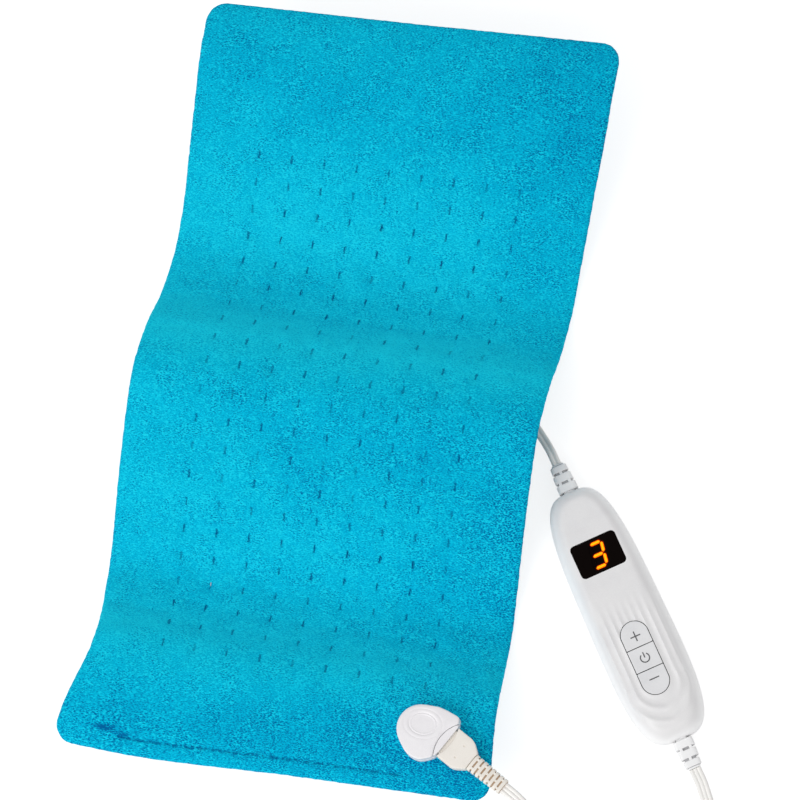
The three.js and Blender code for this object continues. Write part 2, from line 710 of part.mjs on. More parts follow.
const returnX = PAD_WIDTH / 2 - SEAM_WIDTH - WIRE_SEAM_MARGIN;
const runEnd = returnX - WIRE_RETURN_GAP;
const runs = spread(alongGrid.end, alongGrid.start, TACK_ROWS);
const runBend = tackPitchAlong / 2;
const [firstRiser, sensorRiser, lastRiser] = [1, 0, -1].map(riser);
const wireCorners = [firstRiser.top, firstRiser.foot, [firstRiser.x, runs[0], 0, runBend]];
runs.forEach((s, i) => {
  const side = i % 2 === 0 ? -1 : 1;
  if (i > 0) {
    wireCorners.push([-side * runEnd, s, 0, runBend]);
  }
  if (i < runs.length - 1) {
    wireCorners.push([side * runEnd, s, 0, runBend]);
  }
});
wireCorners.push(
  [returnX, runs.at(-1), 0, runBend], [returnX, lastRiser.s, 0, runBend], lastRiser.foot, lastRiser.top);
piece('heating_wire', laidWire(wireCorners), wireRed);

// Temperature sensor on its own wire, in the clear strip beside the socket

const sensorX = sensorRiser.x - SENSOR_REACH;
piece('sensor_wire', laidWire([
  sensorRiser.top, sensorRiser.foot, [sensorX, sensorRiser.s, 0, 0],
]), wireRed);
piece('temperature_sensor', tube(
  spread(sensorX - FIT_GAP, sensorX - FIT_GAP - SENSOR_LENGTH, 1).map((x) => foldPoint(sensorRiser.s, x, 0)),
  SENSOR_DIAMETER / 2, 8,
), blackGloss);

// Socket: base plate, body with its lip, cap with the dish, pins and screws

const cavity = block(
  [CAVITY_BACK, -CAVITY_WIDTH / 2, CAVITY_LOW],
  [LIP_FRONT + OVERRUN, CAVITY_WIDTH / 2, cavityHigh],
);
const chamber = block(
  [CHAMBER_BACK, -PIN_SPACING - PIN_DIAMETER * 2, CAVITY_LOW],
  [CHAMBER_BACK + CHAMBER_LENGTH, PIN_SPACING + PIN_DIAMETER * 2, cavityHigh],
);
const tongueBack = CAVITY_BACK + FIT_GAP * 2;
const pinPlaces = [-1, 0, 1].map((k) => k * PIN_SPACING);
const pinBores = pinPlaces.map((y) => rod(
  CHAMBER_BACK + CHAMBER_LENGTH - OVERRUN, CAVITY_BACK + OVERRUN, y, pinHeight, PIN_DIAMETER / 2 + FIT_GAP, 10));
const lipDisc = (grow, low, high) => post(
  LIP_BACK + LIP_BACK_RADIUS, 0, LIP_BACK_RADIUS + grow, low, high, ROUND_SIDES * 2.5);
const dishRing = (radius) => cut(
  post(0, 0, radius, SOCKET_HEIGHT - DISH_DEPTH, SOCKET_HEIGHT + OVERRUN, ROUND_SIDES * 1.5),
  post(0, 0, radius - DISH_GROOVE_WIDTH, 0, SOCKET_HEIGHT + OVERRUN * 2, ROUND_SIDES * 1.5));
piece('socket_base', cut(
  join(prism(baseOutline(0), baseLow, baseTop), post(BORE_PLACE, 0, boreRadius, baseLow, -FIT_GAP)),
  post(BORE_PLACE, 0, boreRadius - SPOUT_WALL, baseLow - OVERRUN, OVERRUN),
  ...screwBores(SOCKET_SCREW_DIAMETER / 2 + FIT_GAP, baseLow - OVERRUN, baseTop + OVERRUN),
), creamPlastic, socket);
piece('socket_body', cut(
  join(
    socketPrism(0, 0, SOCKET_SPLIT),
    common(socketPrism(0, SOCKET_SPLIT - OVERRUN, SOCKET_HEIGHT - LIP_DROP), lipDisc(0, 0, SOCKET_HEIGHT)),
  ),
  cavity, chamber, ...pinBores,
  post(BORE_PLACE, 0, boreRadius, -OVERRUN, CAVITY_LOW + OVERRUN),
  ...screwBores(SOCKET_SCREW_DIAMETER / 2 + FIT_GAP, -OVERRUN, SOCKET_SCREW_LENGTH + baseLow + FIT_GAP * 2),
), whitePlastic, socket);
piece('socket_cap', cut(
  socketPrism(0, SOCKET_SPLIT + FIT_GAP, SOCKET_HEIGHT),
  cavity, chamber, ...pinBores, lipDisc(FIT_GAP, 0, SOCKET_HEIGHT + OVERRUN),
  dishRing(DISH_RADIUS), dishRing(DISH_RIM_RADIUS),
), whitePlastic, socket);
pinPlaces.forEach((y, i) => {
  piece(`socket_pin_${i + 1}`, rod(PIN_BACK, tongueBack + PIN_REACH, y, pinHeight, PIN_DIAMETER / 2, 10), brass, socket);
});
socketScrewPlaces.forEach(([x, y], i) => {
  const headLow = baseLow - FIT_GAP - SOCKET_SCREW_DIAMETER / 4;
  piece(`socket_screw_${i + 1}`, join(
    post(x, y, SOCKET_SCREW_HEAD / 2, headLow, baseLow - FIT_GAP, 10),
    post(x, y, SOCKET_SCREW_DIAMETER / 2, headLow, baseLow + SOCKET_SCREW_LENGTH, 10),
  ), steel, socket);
});

// Plug: two shells round three contact sleeves, and the ribbed boot

const plugBack = LIP_FRONT + FIT_GAP;
const plugHigh = SOCKET_HEIGHT - PLUG_DROP;
const plugMiddle = (PLUG_LOW + plugHigh) / 2;
const plugHalf = PLUG_WIDTH / 2;
const plugShape = outline([
  [LIP_BACK, -plugHalf + PLUG_EDGE], [LIP_BACK + PLUG_EDGE, -plugHalf], [plugBack + PLUG_STRAIGHT, -plugHalf],
  [plugBack + PLUG_LENGTH, -PLUG_END_WIDTH / 2], [plugBack + PLUG_LENGTH, PLUG_END_WIDTH / 2],
  [plugBack + PLUG_STRAIGHT, plugHalf], [LIP_BACK + PLUG_EDGE, plugHalf], [LIP_BACK, plugHalf - PLUG_EDGE],
]);
const lipFace = post(
  LIP_FRONT - LIP_FRONT_RADIUS, 0, LIP_FRONT_RADIUS + FIT_GAP, -SOCKET_HEIGHT, SOCKET_HEIGHT * 2, ROUND_SIDES * 3);
const tongue = block(
  [tongueBack, -CAVITY_WIDTH / 2 + FIT_GAP, CAVITY_LOW + FIT_GAP],
  [LIP_FRONT + OVERRUN, CAVITY_WIDTH / 2 - FIT_GAP, cavityHigh - FIT_GAP],
);
const contactBores = pinPlaces.map((y) => rod(
  tongueBack - OVERRUN, tongueBack + CONTACT_LENGTH + FIT_GAP, y, pinHeight, CONTACT_OUTER / 2 + FIT_GAP, 10));
const bootRootX = plugBack + PLUG_LENGTH;
const bootWell = block(
  [bootRootX - BOOT_ROOT, (-BOOT_WIDTH * BOOT_CORE_SHARE) / 2 - FIT_GAP, plugMiddle - (BOOT_HEIGHT * BOOT_CORE_SHARE) / 2 - FIT_GAP],
  [bootRootX + OVERRUN, (BOOT_WIDTH * BOOT_CORE_SHARE) / 2 + FIT_GAP, plugMiddle + (BOOT_HEIGHT * BOOT_CORE_SHARE) / 2 + FIT_GAP],
);
const plugWhole = join(
  cut(prism(plugShape, PLUG_LOW, plugHigh), lipFace),
  tongue,
);
const pips = [-1, 1].map((side) => post(
  plugBack + PIP_PLACE, (side * PIP_SPACING) / 2, PIP_DIAMETER / 2, plugHigh - PIP_DEPTH, plugHigh + OVERRUN, 8));
const plugSpan = [LIP_FRONT + PLUG_LENGTH * 2, PLUG_WIDTH];
const halfSpace = (low, high) => block([0, -plugSpan[1], low], [plugSpan[0], plugSpan[1], high]);
piece('plug_lower_shell', cut(
  common(plugWhole, halfSpace(0, pinHeight - FIT_GAP / 2)), ...contactBores, bootWell), creamPlastic, socket);
piece('plug_upper_shell', cut(
  common(plugWhole, halfSpace(pinHeight + FIT_GAP / 2, SOCKET_HEIGHT)), ...contactBores, bootWell, ...pips), creamPlastic, socket);
pinPlaces.forEach((y, i) => {
  piece(`plug_contact_${i + 1}`, cut(
    rod(tongueBack, tongueBack + CONTACT_LENGTH, y, pinHeight, CONTACT_OUTER / 2, 10),
    rod(tongueBack - OVERRUN, tongueBack + CONTACT_LENGTH - FIT_GAP * 2, y, pinHeight, PIN_DIAMETER / 2 + FIT_GAP, 10),
  ), brass, socket);
});

/** A ring of a flat round-edged section across x, centred at a height. */
function crossRing(x, halfWidth, halfHeight, centre, power = RELIEF_POWER, count = 10) {
  return oval(count, halfWidth, halfHeight, power).map(([y, z]) => new THREE.Vector3(x, y, z + centre));
}

/** The ribbed boot: a root in the plug, then ribs that narrow towards the lead. */
function ribbedBoot() {
  const rib = BOOT_LENGTH / (BOOT_RIBS * 2 - 1);
  const ring = (distance, share) => {
    const taper = 1 - (1 - BOOT_TAPER) * Math.max(distance / BOOT_LENGTH, 0);
    return crossRing(
      bootRootX + FIT_GAP + distance,
      (BOOT_WIDTH / 2) * share * taper, (BOOT_HEIGHT / 2) * share * taper, plugMiddle, RELIEF_POWER, 8);
  };
  const rings = [ring(-BOOT_ROOT, BOOT_CORE_SHARE)];
  for (let i = 0; i < BOOT_RIBS; i += 1) {
    const start = i * rib * 2;
    if (i > 0) {
      rings.push(ring(start, BOOT_CORE_SHARE));
    } else {
      rings.push(ring(0, BOOT_CORE_SHARE));
    }
    rings.push(ring(start, 1), ring(start + rib, 1));
    if (i < BOOT_RIBS - 1) {
      rings.push(ring(start + rib, BOOT_CORE_SHARE));
    }
  }
  return loft(rings);
}
piece('plug_boot', ribbedBoot(), creamPlastic, socket);

// Controller frame and casing

const controller = new THREE.Group();
controller.position.set(CONTROLLER_X, CONTROLLER_Y, 0);
controller.rotation.z = CONTROLLER_TURN;
controller.updateMatrixWorld();
object.add(controller);

const halfLength = CONTROLLER_LENGTH / 2;
const halfWidth = CONTROLLER_WIDTH / 2;
const frontLow = CONTROLLER_SPLIT + FIT_GAP / 2;
const rearHigh = CONTROLLER_SPLIT - FIT_GAP / 2;

/** The casing's outline at a height, inset from its widest. */
function caseRing(inset, height) {
  return oval(CASE_SIDES, halfLength - inset, halfWidth - inset, OUTLINE_POWER).map(([x, y]) => (
    new THREE.Vector3(x, y * (1 + (OUTLINE_TAPER * x) / halfLength), height)));
}

/** A casing half and its hollow, from levels given as [inset, height] shares. */
function caseHalf(levels, from, to, mouth) {
  const place = ([inset, height]) => [inset * halfWidth, THREE.MathUtils.lerp(from, to, height)];
  const outer = levels.map(place).map(([inset, height]) => caseRing(inset, height));
  const wall = mouth === 'low' ? -CASE_WALL : CASE_WALL;
  const inner = levels.filter((_, i) => i % 2 === 0 || i === levels.length - 1).map((level) => {
    const [inset, height] = place(level);
    const depth = mouth === 'low' ? level[1] : 1 - level[1];
    return caseRing(inset + CASE_WALL, height + wall * depth);
  });
  const mouthRing = caseRing(CASE_WALL, mouth === 'low' ? from - OVERRUN : to + OVERRUN);
  return cut(loft(outer), loft(mouth === 'low' ? [mouthRing, ...inner] : [...inner, mouthRing]));
}

const bossReach = halfLength - BOSS_END_INSET;
const bossSide = halfWidth - BOSS_SIDE_INSET;
const bossRadius = SCREW_HEAD_DIAMETER / 2 + FIT_GAP + BOSS_WALL;
const bosses = [-1, 1].flatMap((end) => [-1, 1].map((side) => [end * bossReach, side * bossSide]));
const reliefNotch = (clear) => [-1, 1].map((end) => block(
  [end > 0 ? halfLength - CASE_WALL * 3 : -halfLength - OVERRUN, -RELIEF_NECK_WIDTH / 2 - clear, RELIEF_CENTRE - RELIEF_NECK_HEIGHT / 2 - clear],
  [end > 0 ? halfLength + OVERRUN : -halfLength + CASE_WALL * 3, RELIEF_NECK_WIDTH / 2 + clear, RELIEF_CENTRE + RELIEF_NECK_HEIGHT / 2 + clear],
));

// Places on the casing and inside it, and heights from the board up

const windowPlace = WINDOW_END_INSET - halfLength;
const capsuleEnd = halfLength - CAPSULE_END_INSET;
const capsuleStart = capsuleEnd - CAPSULE_LENGTH;
const boardLength = 2 * (bossReach - bossRadius - BOARD_END_MARGIN);
const boardWidth = CONTROLLER_WIDTH - 2 * BOARD_SIDE_MARGIN;
const boardTop = BOARD_HEIGHT + BOARD_THICKNESS;
const onBoard = boardTop + FIT_GAP;
const wallUnderside = CONTROLLER_HEIGHT - CASE_WALL;
const windowTop = CONTROLLER_HEIGHT - WINDOW_SINK;
const windowLow = windowTop - WINDOW_THICKNESS;
const diffuserTop = windowLow - FIT_GAP;
const diffuserLow = diffuserTop - DIFFUSER_THICKNESS;
const moduleTop = diffuserLow - FIT_GAP;
const keyTop = CONTROLLER_HEIGHT + KEY_PROUD;
const flangeTop = wallUnderside - FIT_GAP;
const flangeLow = flangeTop - KEY_FLANGE_THICKNESS;
const switchTop = onBoard + SWITCH_HEIGHT;
const plungerLow = switchTop - PLUNGER_BORE_DEPTH + KEY_TRAVEL + FIT_GAP;
const plungerTop = plungerLow + PLUNGER_LENGTH;

// Front casing: openings for the window and the keys, and blind bosses for the screws

const windowShape = (grow) => roundRect(
  windowPlace, 0, WINDOW_LENGTH + grow * 2, WINDOW_WIDTH + grow * 2, WINDOW_CORNER + grow);
const capsuleShape = (grow) => roundRect(
  capsuleStart + CAPSULE_LENGTH / 2, 0, CAPSULE_LENGTH + grow * 2, CAPSULE_WIDTH + grow * 2,
  CAPSULE_WIDTH / 2 + grow - FIT_GAP / 10);
const screwTop = SCREW_HEAD_SINK + SCREW_LENGTH;
const frontBosses = bosses.map(([x, y]) => common(
  post(x, y, bossRadius, frontLow, CONTROLLER_HEIGHT),
  loft(frontLevelShares.map(([inset, height]) => (
    caseRing(inset * halfWidth + CASE_WALL / 2, THREE.MathUtils.lerp(frontLow, CONTROLLER_HEIGHT - CASE_WALL / 2, height)))))));
piece('front_casing', cut(
  join(caseHalf(frontLevelShares, frontLow, CONTROLLER_HEIGHT, 'low'), ...frontBosses),
  prism(windowShape(FIT_GAP), windowLow - OVERRUN, CONTROLLER_HEIGHT + OVERRUN, 4),
  prism(capsuleShape(KEY_GAP), flangeLow, CONTROLLER_HEIGHT + OVERRUN),
  ...bosses.map(([x, y]) => post(x, y, SCREW_DIAMETER / 2 + FIT_GAP, frontLow - OVERRUN, screwTop + FIT_GAP, 10)),
  ...reliefNotch(FIT_GAP),
), whitePlastic, controller);

// Rear casing: screw bosses with their head wells, and posts under the board

const boardPosts = [-1, 1].flatMap((end) => [-1, 1].map((side) => [
  BOARD_PLACE + end * (boardLength / 2 - POST_INSET), side * (boardWidth / 2 - POST_INSET)]));
piece('rear_casing', cut(
  join(
    caseHalf(rearLevelShares, 0, rearHigh, 'high'),
    ...bosses.map(([x, y]) => post(x, y, bossRadius, CASE_WALL / 2, rearHigh)),
    ...boardPosts.map(([x, y]) => post(x, y, POST_DIAMETER / 2, CASE_WALL / 2, BOARD_HEIGHT - FIT_GAP, 12)),
  ),
  ...bosses.map(([x, y]) => post(x, y, SCREW_DIAMETER / 2 + FIT_GAP, -OVERRUN, rearHigh + OVERRUN, 10)),
  ...bosses.map(([x, y]) => post(
    x, y, SCREW_HEAD_DIAMETER / 2 + FIT_GAP, -OVERRUN, SCREW_HEAD_SINK + SCREW_HEAD_HEIGHT + FIT_GAP, 12)),
  ...reliefNotch(FIT_GAP),
), whitePlastic, controller);
bosses.forEach(([x, y], i) => {
  piece(`casing_screw_${i + 1}`, join(
    post(x, y, SCREW_HEAD_DIAMETER / 2, SCREW_HEAD_SINK, SCREW_HEAD_SINK + SCREW_HEAD_HEIGHT, 12),
    post(x, y, SCREW_DIAMETER / 2, SCREW_HEAD_SINK, screwTop, 10),
  ), steel, controller);
});

// Display: black window with slots, the diffuser whose bars fill them, and the module below

/** The seven bars of the digit as outlines, grown by a margin. */
function digitBars(grow) {
  const half = SEGMENT_THICKNESS / 2 + grow;
  const lean = (x, y) => [windowPlace + x, y - x * Math.tan(DIGIT_SLANT)];
  const bar = (cx, cy, reach, upright) => {
    const end = reach - SEGMENT_GAP / 2 + grow * Math.SQRT2;
    const tip = end - half;
    const points = [[-end, 0], [-tip, -half], [tip, -half], [end, 0], [tip, half], [-tip, half]];
    return outline(points.map(([a, b]) => (upright ? lean(cx + a, cy + b) : lean(cx + b, cy + a))));
  };
  const level = [-1, 0, 1].map((k) => bar(k * DIGIT_HALF_HEIGHT, 0, DIGIT_HALF_WIDTH, false));
  const upright = [-0.5, 0.5].flatMap((k) => [-1, 1].map((side) => (
    bar(k * DIGIT_HALF_HEIGHT, side * DIGIT_HALF_WIDTH, DIGIT_HALF_HEIGHT / 2, true))));
  return [...level, ...upright];
}
piece('display_window', cut(
  prism(windowShape(0), windowLow, windowTop, 4),
  ...digitBars(FIT_GAP).map((bar) => prism(bar, windowLow - OVERRUN, windowTop + OVERRUN)),
), blackGloss, controller);
piece('display_diffuser', join(
  prism(windowShape(-WINDOW_CORNER / 2), diffuserLow, diffuserTop, 4),
  ...digitBars(0).map((bar) => prism(bar, diffuserLow, windowTop)),
), amber, controller);
const moduleBox = (wall, low, high) => block(
  [windowPlace - MODULE_LENGTH / 2 + wall, -MODULE_WIDTH / 2 + wall, low],
  [windowPlace + MODULE_LENGTH / 2 - wall, MODULE_WIDTH / 2 - wall, high],
);
piece('display_module', cut(
  moduleBox(0, onBoard, moduleTop),
  moduleBox(MODULE_WALL, onBoard + MODULE_WALL, moduleTop + OVERRUN),
), darkPlastic, controller);

// Keys: one capsule split in three, each with a flange under the wall and a stem to its plunger

const capsuleMiddle = capsuleStart + CAPSULE_LENGTH / 2;
const middleStart = capsuleMiddle - KEY_MIDDLE_LENGTH / 2;
const middleEnd = capsuleMiddle + KEY_MIDDLE_LENGTH / 2;
const keyWhole = join(
  softPrism(capsuleShape(0), flangeTop - FIT_GAP, keyTop, KEY_EDGE),
  prism(capsuleShape(KEY_FLANGE_WIDTH), flangeLow, flangeTop, 6),
);
const keySpans = {
  plus: [capsuleStart - OVERRUN, middleStart - KEY_GAP / 2],
  power: [middleStart + KEY_GAP / 2, middleEnd - KEY_GAP / 2],
  minus: [middleEnd + KEY_GAP / 2, capsuleEnd + OVERRUN],
};
Object.entries(keySpans).forEach(([name, [start, end]]) => {
  const middle = (Math.max(start, capsuleStart) + Math.min(end, capsuleEnd)) / 2;
  const span = block([start, -CAPSULE_WIDTH, flangeLow - OVERRUN], [end, CAPSULE_WIDTH, keyTop + OVERRUN]);
  piece(`key_${name}`, join(
    common(keyWhole, span),
    post(middle, 0, KEY_STEM_DIAMETER / 2, plungerTop + FIT_GAP, flangeTop, 12),
  ), keyGrey, controller);
  piece(`plunger_${name}`, post(middle, 0, PLUNGER_DIAMETER / 2, plungerLow, plungerTop, 12), darkPlastic, controller);
  piece(`switch_${name}`, cut(
    block(
      [middle - SWITCH_SIDE / 2, -SWITCH_SIDE / 2, onBoard],
      [middle + SWITCH_SIDE / 2, SWITCH_SIDE / 2, switchTop],
    ),
    post(middle, 0, PLUNGER_DIAMETER / 2 + FIT_GAP, switchTop - PLUNGER_BORE_DEPTH, switchTop + OVERRUN, 12),
  ), steel, controller);
});

// Circuit board and the parts on it

piece('circuit_board', prism(
  roundRect(BOARD_PLACE, 0, boardLength, boardWidth, BOARD_CORNER), BOARD_HEIGHT, boardTop, 3), boardGreen, controller);
const standing = (x, y, length, width, height) => block(
  [x - length / 2, y - width / 2, onBoard],
  [x + length / 2, y + width / 2, onBoard + height],
);
const partsStart = windowPlace + MODULE_LENGTH / 2 + PARTS_MARGIN;
piece('fuse', rod(
  partsStart, partsStart + FUSE_LENGTH, -PARTS_SIDE, onBoard + FUSE_DIAMETER / 2, FUSE_DIAMETER / 2, 12,
), steel, controller);
piece('capacitor', standing(
  partsStart + CAPACITOR_LENGTH / 2, PARTS_SIDE, CAPACITOR_LENGTH, CAPACITOR_WIDTH, CAPACITOR_HEIGHT,
), amber, controller);
piece('triac', standing(
  partsStart + CAPACITOR_LENGTH + PARTS_GAP + TRIAC_LENGTH / 2, PARTS_SIDE, TRIAC_LENGTH, TRIAC_WIDTH, TRIAC_HEIGHT,
), darkPlastic, controller);
piece('microcontroller', standing(
  partsStart + FUSE_LENGTH + PARTS_GAP + CHIP_LENGTH / 2, -PARTS_SIDE, CHIP_LENGTH, CHIP_WIDTH, CHIP_HEIGHT,
), darkPlastic, controller);

// Strain reliefs: a root inside the casing, a neck through its wall and blocks outside

/** One strain relief that points along x, for the end where the casing's half length ends. */
function strainRelief() {
  const inside = halfLength - CASE_WALL * 3;
  const neck = (x, share = 1) => crossRing(
    x, (RELIEF_NECK_WIDTH / 2) * share, (RELIEF_NECK_HEIGHT / 2) * share, RELIEF_CENTRE, RELIEF_POWER * 2);
  const root = (x) => crossRing(
    x, RELIEF_NECK_WIDTH * 0.75, RELIEF_NECK_HEIGHT * 0.75, RELIEF_CENTRE, RELIEF_POWER * 2);
  const outside = reliefShares.map(([distance, width]) => crossRing(
    halfLength + FIT_GAP + distance * RELIEF_LENGTH, (RELIEF_WIDTH / 2) * width, (RELIEF_HEIGHT / 2) * width, RELIEF_CENTRE));
  const first = halfLength + FIT_GAP + reliefShares[0][0] * RELIEF_LENGTH;
  return loft([root(inside - FIT_GAP - RELIEF_ROOT), root(inside - FIT_GAP), neck(inside - FIT_GAP), neck(first), ...outside]);
}
piece('pad_relief', strainRelief(), whitePlastic, controller);
piece('mains_relief', strainRelief().rotateZ(Math.PI), whitePlastic, controller);

// Cores from the strain reliefs to the board

const rootFace = halfLength - CASE_WALL * 3 - FIT_GAP * 2 - RELIEF_ROOT;
const coreTop = onBoard + CORE_DIAMETER / 2;

/** One core that lies from a strain relief onto the board. */
function core(end, y) {
  const boardEnd = boardLength / 2 + end * BOARD_PLACE;
  const climb = [rootFace, rootFace - CORE_DIAMETER * 2, boardEnd + CORE_DIAMETER * 2, boardEnd - CORE_DIAMETER];
  const heights = [RELIEF_CENTRE, RELIEF_CENTRE, coreTop, coreTop];
  const corners = climb.map((x, i) => new THREE.Vector3(end * x, y, heights[i]));
  return tube(rounded(corners, corners.map(() => CORE_DIAMETER * 2)), CORE_DIAMETER / 2, 6);
}
[-0.5, 0.5].forEach((k, i) => {
  piece(`mains_core_${i + 1}`, core(-1, k * CORE_SPACING), copper, controller);
});
[-1, 0, 1].forEach((k, i) => {
  piece(`pad_core_${i + 1}`, core(1, k * CORE_SPACING), copper, controller);
});

// Leads: flat sections kept level along their routes, or rolled onto their edge

/** A flat section with round edges: eight points, or six on the coil. */
function flatSection(width, thickness, fine) {
  const radius = thickness / 2;
  const straight = width / 2 - radius;
  if (!fine) {
    const corner = [straight, radius];
    return outline([1, -1].flatMap((k) => [[k * (width / 2), 0], [k * corner[0], k * corner[1]], [-k * corner[0], k * corner[1]]]));
  }
  const grown = radius / Math.cos(Math.PI / FLAT_SIDES);
  return outline(Array.from({ length: FLAT_SIDES }, (_, k) => {
    const angle = ((2 * k + 1) * Math.PI) / FLAT_SIDES;
    return [Math.sign(Math.cos(angle)) * straight + grown * Math.cos(angle), grown * Math.sin(angle)];
  }));
}

/** A lead along a curve, with its width level where the roll is zero. */
function lead(curve, section, steps, rollAt = () => 0) {
  curve.computeFrenetFrames = (count) => {
    const frames = { tangents: [], normals: [], binormals: [] };
    for (let i = 0; i <= count; i += 1) {
      const way = curve.getTangentAt(i / count);
      const side = new THREE.Vector3(0, 0, 1).cross(way).normalize();
      const roll = rollAt(i / count);
      side.applyAxisAngle(way, roll);
      frames.tangents.push(way);
      frames.normals.push(side);
      frames.binormals.push(way.clone().cross(side));
    }
    return frames;
  };
  return new THREE.ExtrudeGeometry(section, { steps, extrudePath: curve, bevelEnabled: false });
}

/** A smooth curve through a lead's points. */
function route(points) {
  const curve = new THREE.CatmullRomCurve3(points.map((point) => (
    point.isVector3 ? point : new THREE.Vector3(...point))));
  curve.arcLengthDivisions = 600;
  return curve;
}

/** A place of a group's frame in the object's frame. */
function placed(group, x, y, z) {
  return new THREE.Vector3(x, y, z).applyMatrix4(group.matrixWorld);
}

/** Two points that take a lead straight out of the face that it meets. */
function straightOut(group, x, z, way, length) {
  return [0, 0.5, 1].map((share) => placed(group, x + way * (FIT_GAP + length * share), 0, z));
}

// Pad lead: from the plug's boot down to the surface, round in one loop and into the controller

const bootEnd = bootRootX + FIT_GAP + BOOT_LENGTH;
const reliefEnd = halfLength + FIT_GAP + RELIEF_LENGTH;
const padLeadRoute = [
  [192, -141, 49], [206, -154, 42], [217, -169, 32], [225, -187, 21], [231, -206, 12], [236, -226, 5.5],
  [243, -246, 2.6], [254, -263, 1.9], [270, -275, 1.9], [290, -279, 1.9], [309, -273, 1.9], [324, -259, 1.9],
  [333, -240, 1.9], [337, -218, 1.9], [338, -195, 1.9], [336, -173, 1.9], [331, -152, 2.3], [324, -132, 4],
];
piece('pad_lead', lead(route([
  ...straightOut(socket, bootEnd, plugMiddle, 1, PAD_LEAD_WIDTH),
  ...padLeadRoute,
  ...straightOut(controller, reliefEnd, RELIEF_CENTRE, 1, PAD_LEAD_WIDTH).reverse(),
]), flatSection(PAD_LEAD_WIDTH, PAD_LEAD_THICKNESS, true), 46), leadWhite);

// Mains lead: from the controller to the coil, rolled onto its edge on the way

const coilX = PAD_WIDTH * COIL_ACROSS_SHARE;
const coilY = PAD_LENGTH * COIL_ALONG_SHARE;
const coilPitch = MAINS_THICKNESS + COIL_TURN_GAP;
const coilLow = LEAD_FLOOR_GAP + TIE_THICKNESS + FIT_GAP + MAINS_WIDTH / 2;
const coilRise = MAINS_WIDTH + COIL_LAYER_GAP;
const coilHigh = coilLow + coilRise;
const coilStart = new THREE.Vector3(coilX, coilY + COIL_OUTER_RADIUS, coilLow);
const mainsLeadRoute = [[147, 139, 4.6], [136, 150, 3.2], [122, 159, 3.4], [106, 164.8, 4.2]];
const smooth = THREE.MathUtils.smoothstep;
piece('mains_lead', lead(route([
  ...straightOut(controller, -reliefEnd, RELIEF_CENTRE, -1, MAINS_WIDTH),
  ...mainsLeadRoute,
  ...[2, 1].map((k) => coilStart.clone().add(new THREE.Vector3(k * MAINS_WIDTH + FIT_GAP, 0, 0))),
  coilStart.clone().add(new THREE.Vector3(FIT_GAP, 0, 0)),
]), flatSection(MAINS_WIDTH, MAINS_THICKNESS, true), 24, (share) => (smooth(share, 0.3, 0.85) * Math.PI) / 2), leadWhite);

/** The coil's line: in at a steady rate, a climb in the half turn where it reverses, and out. */
class CoilLine extends THREE.Curve {
  getPoint(share, target = new THREE.Vector3()) {
    const turns = share * COIL_TURNS;
    const inward = Math.min(turns, COIL_TURNS - turns);
    const radius = COIL_OUTER_RADIUS - coilPitch * inward;
    const angle = Math.PI / 2 + turns * Math.PI * 2;
    const climb = THREE.MathUtils.clamp((turns - COIL_TURNS / 2) / COIL_CLIMB_TURNS + 0.5, 0, 1);
    return target.set(
      coilX + radius * Math.cos(angle),
      coilY + radius * Math.sin(angle),
      coilLow + coilRise * climb,
    );
  }
}
const coilLine = new CoilLine();
coilLine.arcLengthDivisions = COIL_TURNS * 120;
piece('mains_lead_coil', lead(
  coilLine, flatSection(MAINS_WIDTH, MAINS_THICKNESS, false), COIL_TURNS * COIL_STEPS_A_TURN, () => Math.PI / 2), leadWhite);

/** The least gap between the coil's turns, measured on points of its line. */
function coilGap() {
  const points = coilLine.getSpacedPoints(COIL_TURNS * COIL_STEPS_A_TURN * 2);
  const flat = MAINS_WIDTH - MAINS_THICKNESS;
  let least = Infinity;
  points.forEach((a, i) => points.slice(i + COIL_STEPS_A_TURN).forEach((b) => {
    const rise = Math.max(Math.abs(a.z - b.z) - flat, 0);
    least = Math.min(least, Math.hypot(a.x - b.x, a.y - b.y, rise) - MAINS_THICKNESS);
  }));
  return least;
}
console.log('least gap of the coil to itself', coilGap().toFixed(2), 'mm');

// Tie round the coil's bundle

const bundleInner = COIL_OUTER_RADIUS - (coilPitch * COIL_TURNS) / 2 - MAINS_THICKNESS / 2 - FIT_GAP;
const bundleOuter = COIL_OUTER_RADIUS + MAINS_THICKNESS / 2 + FIT_GAP;
const tieFrame = (grow) => block(
  [bundleInner - grow, -TIE_WIDTH / 2 - (grow ? 0 : OVERRUN), coilLow - MAINS_WIDTH / 2 - FIT_GAP - grow],
  [bundleOuter + grow, TIE_WIDTH / 2 + (grow ? 0 : OVERRUN), coilHigh + MAINS_WIDTH / 2 + FIT_GAP + grow],
);
const tieHole = block(
  [bundleInner - TIE_THICKNESS / 2, -TIE_WIDTH / 2 - OVERRUN, coilLow - MAINS_WIDTH / 2 - FIT_GAP],
  [bundleOuter + TIE_THICKNESS / 2, TIE_WIDTH / 2 + OVERRUN, coilHigh + MAINS_WIDTH / 2 + FIT_GAP],
);
const tie = piece('coil_tie', cut(tieFrame(TIE_THICKNESS), tieHole), darkPlastic);
tie.position.set(coilX, coilY, 0);
tie.rotation.z = TIE_ANGLE;

// Mains plug: a moulded body that narrows to the lead, and two blades; its own x runs forwards

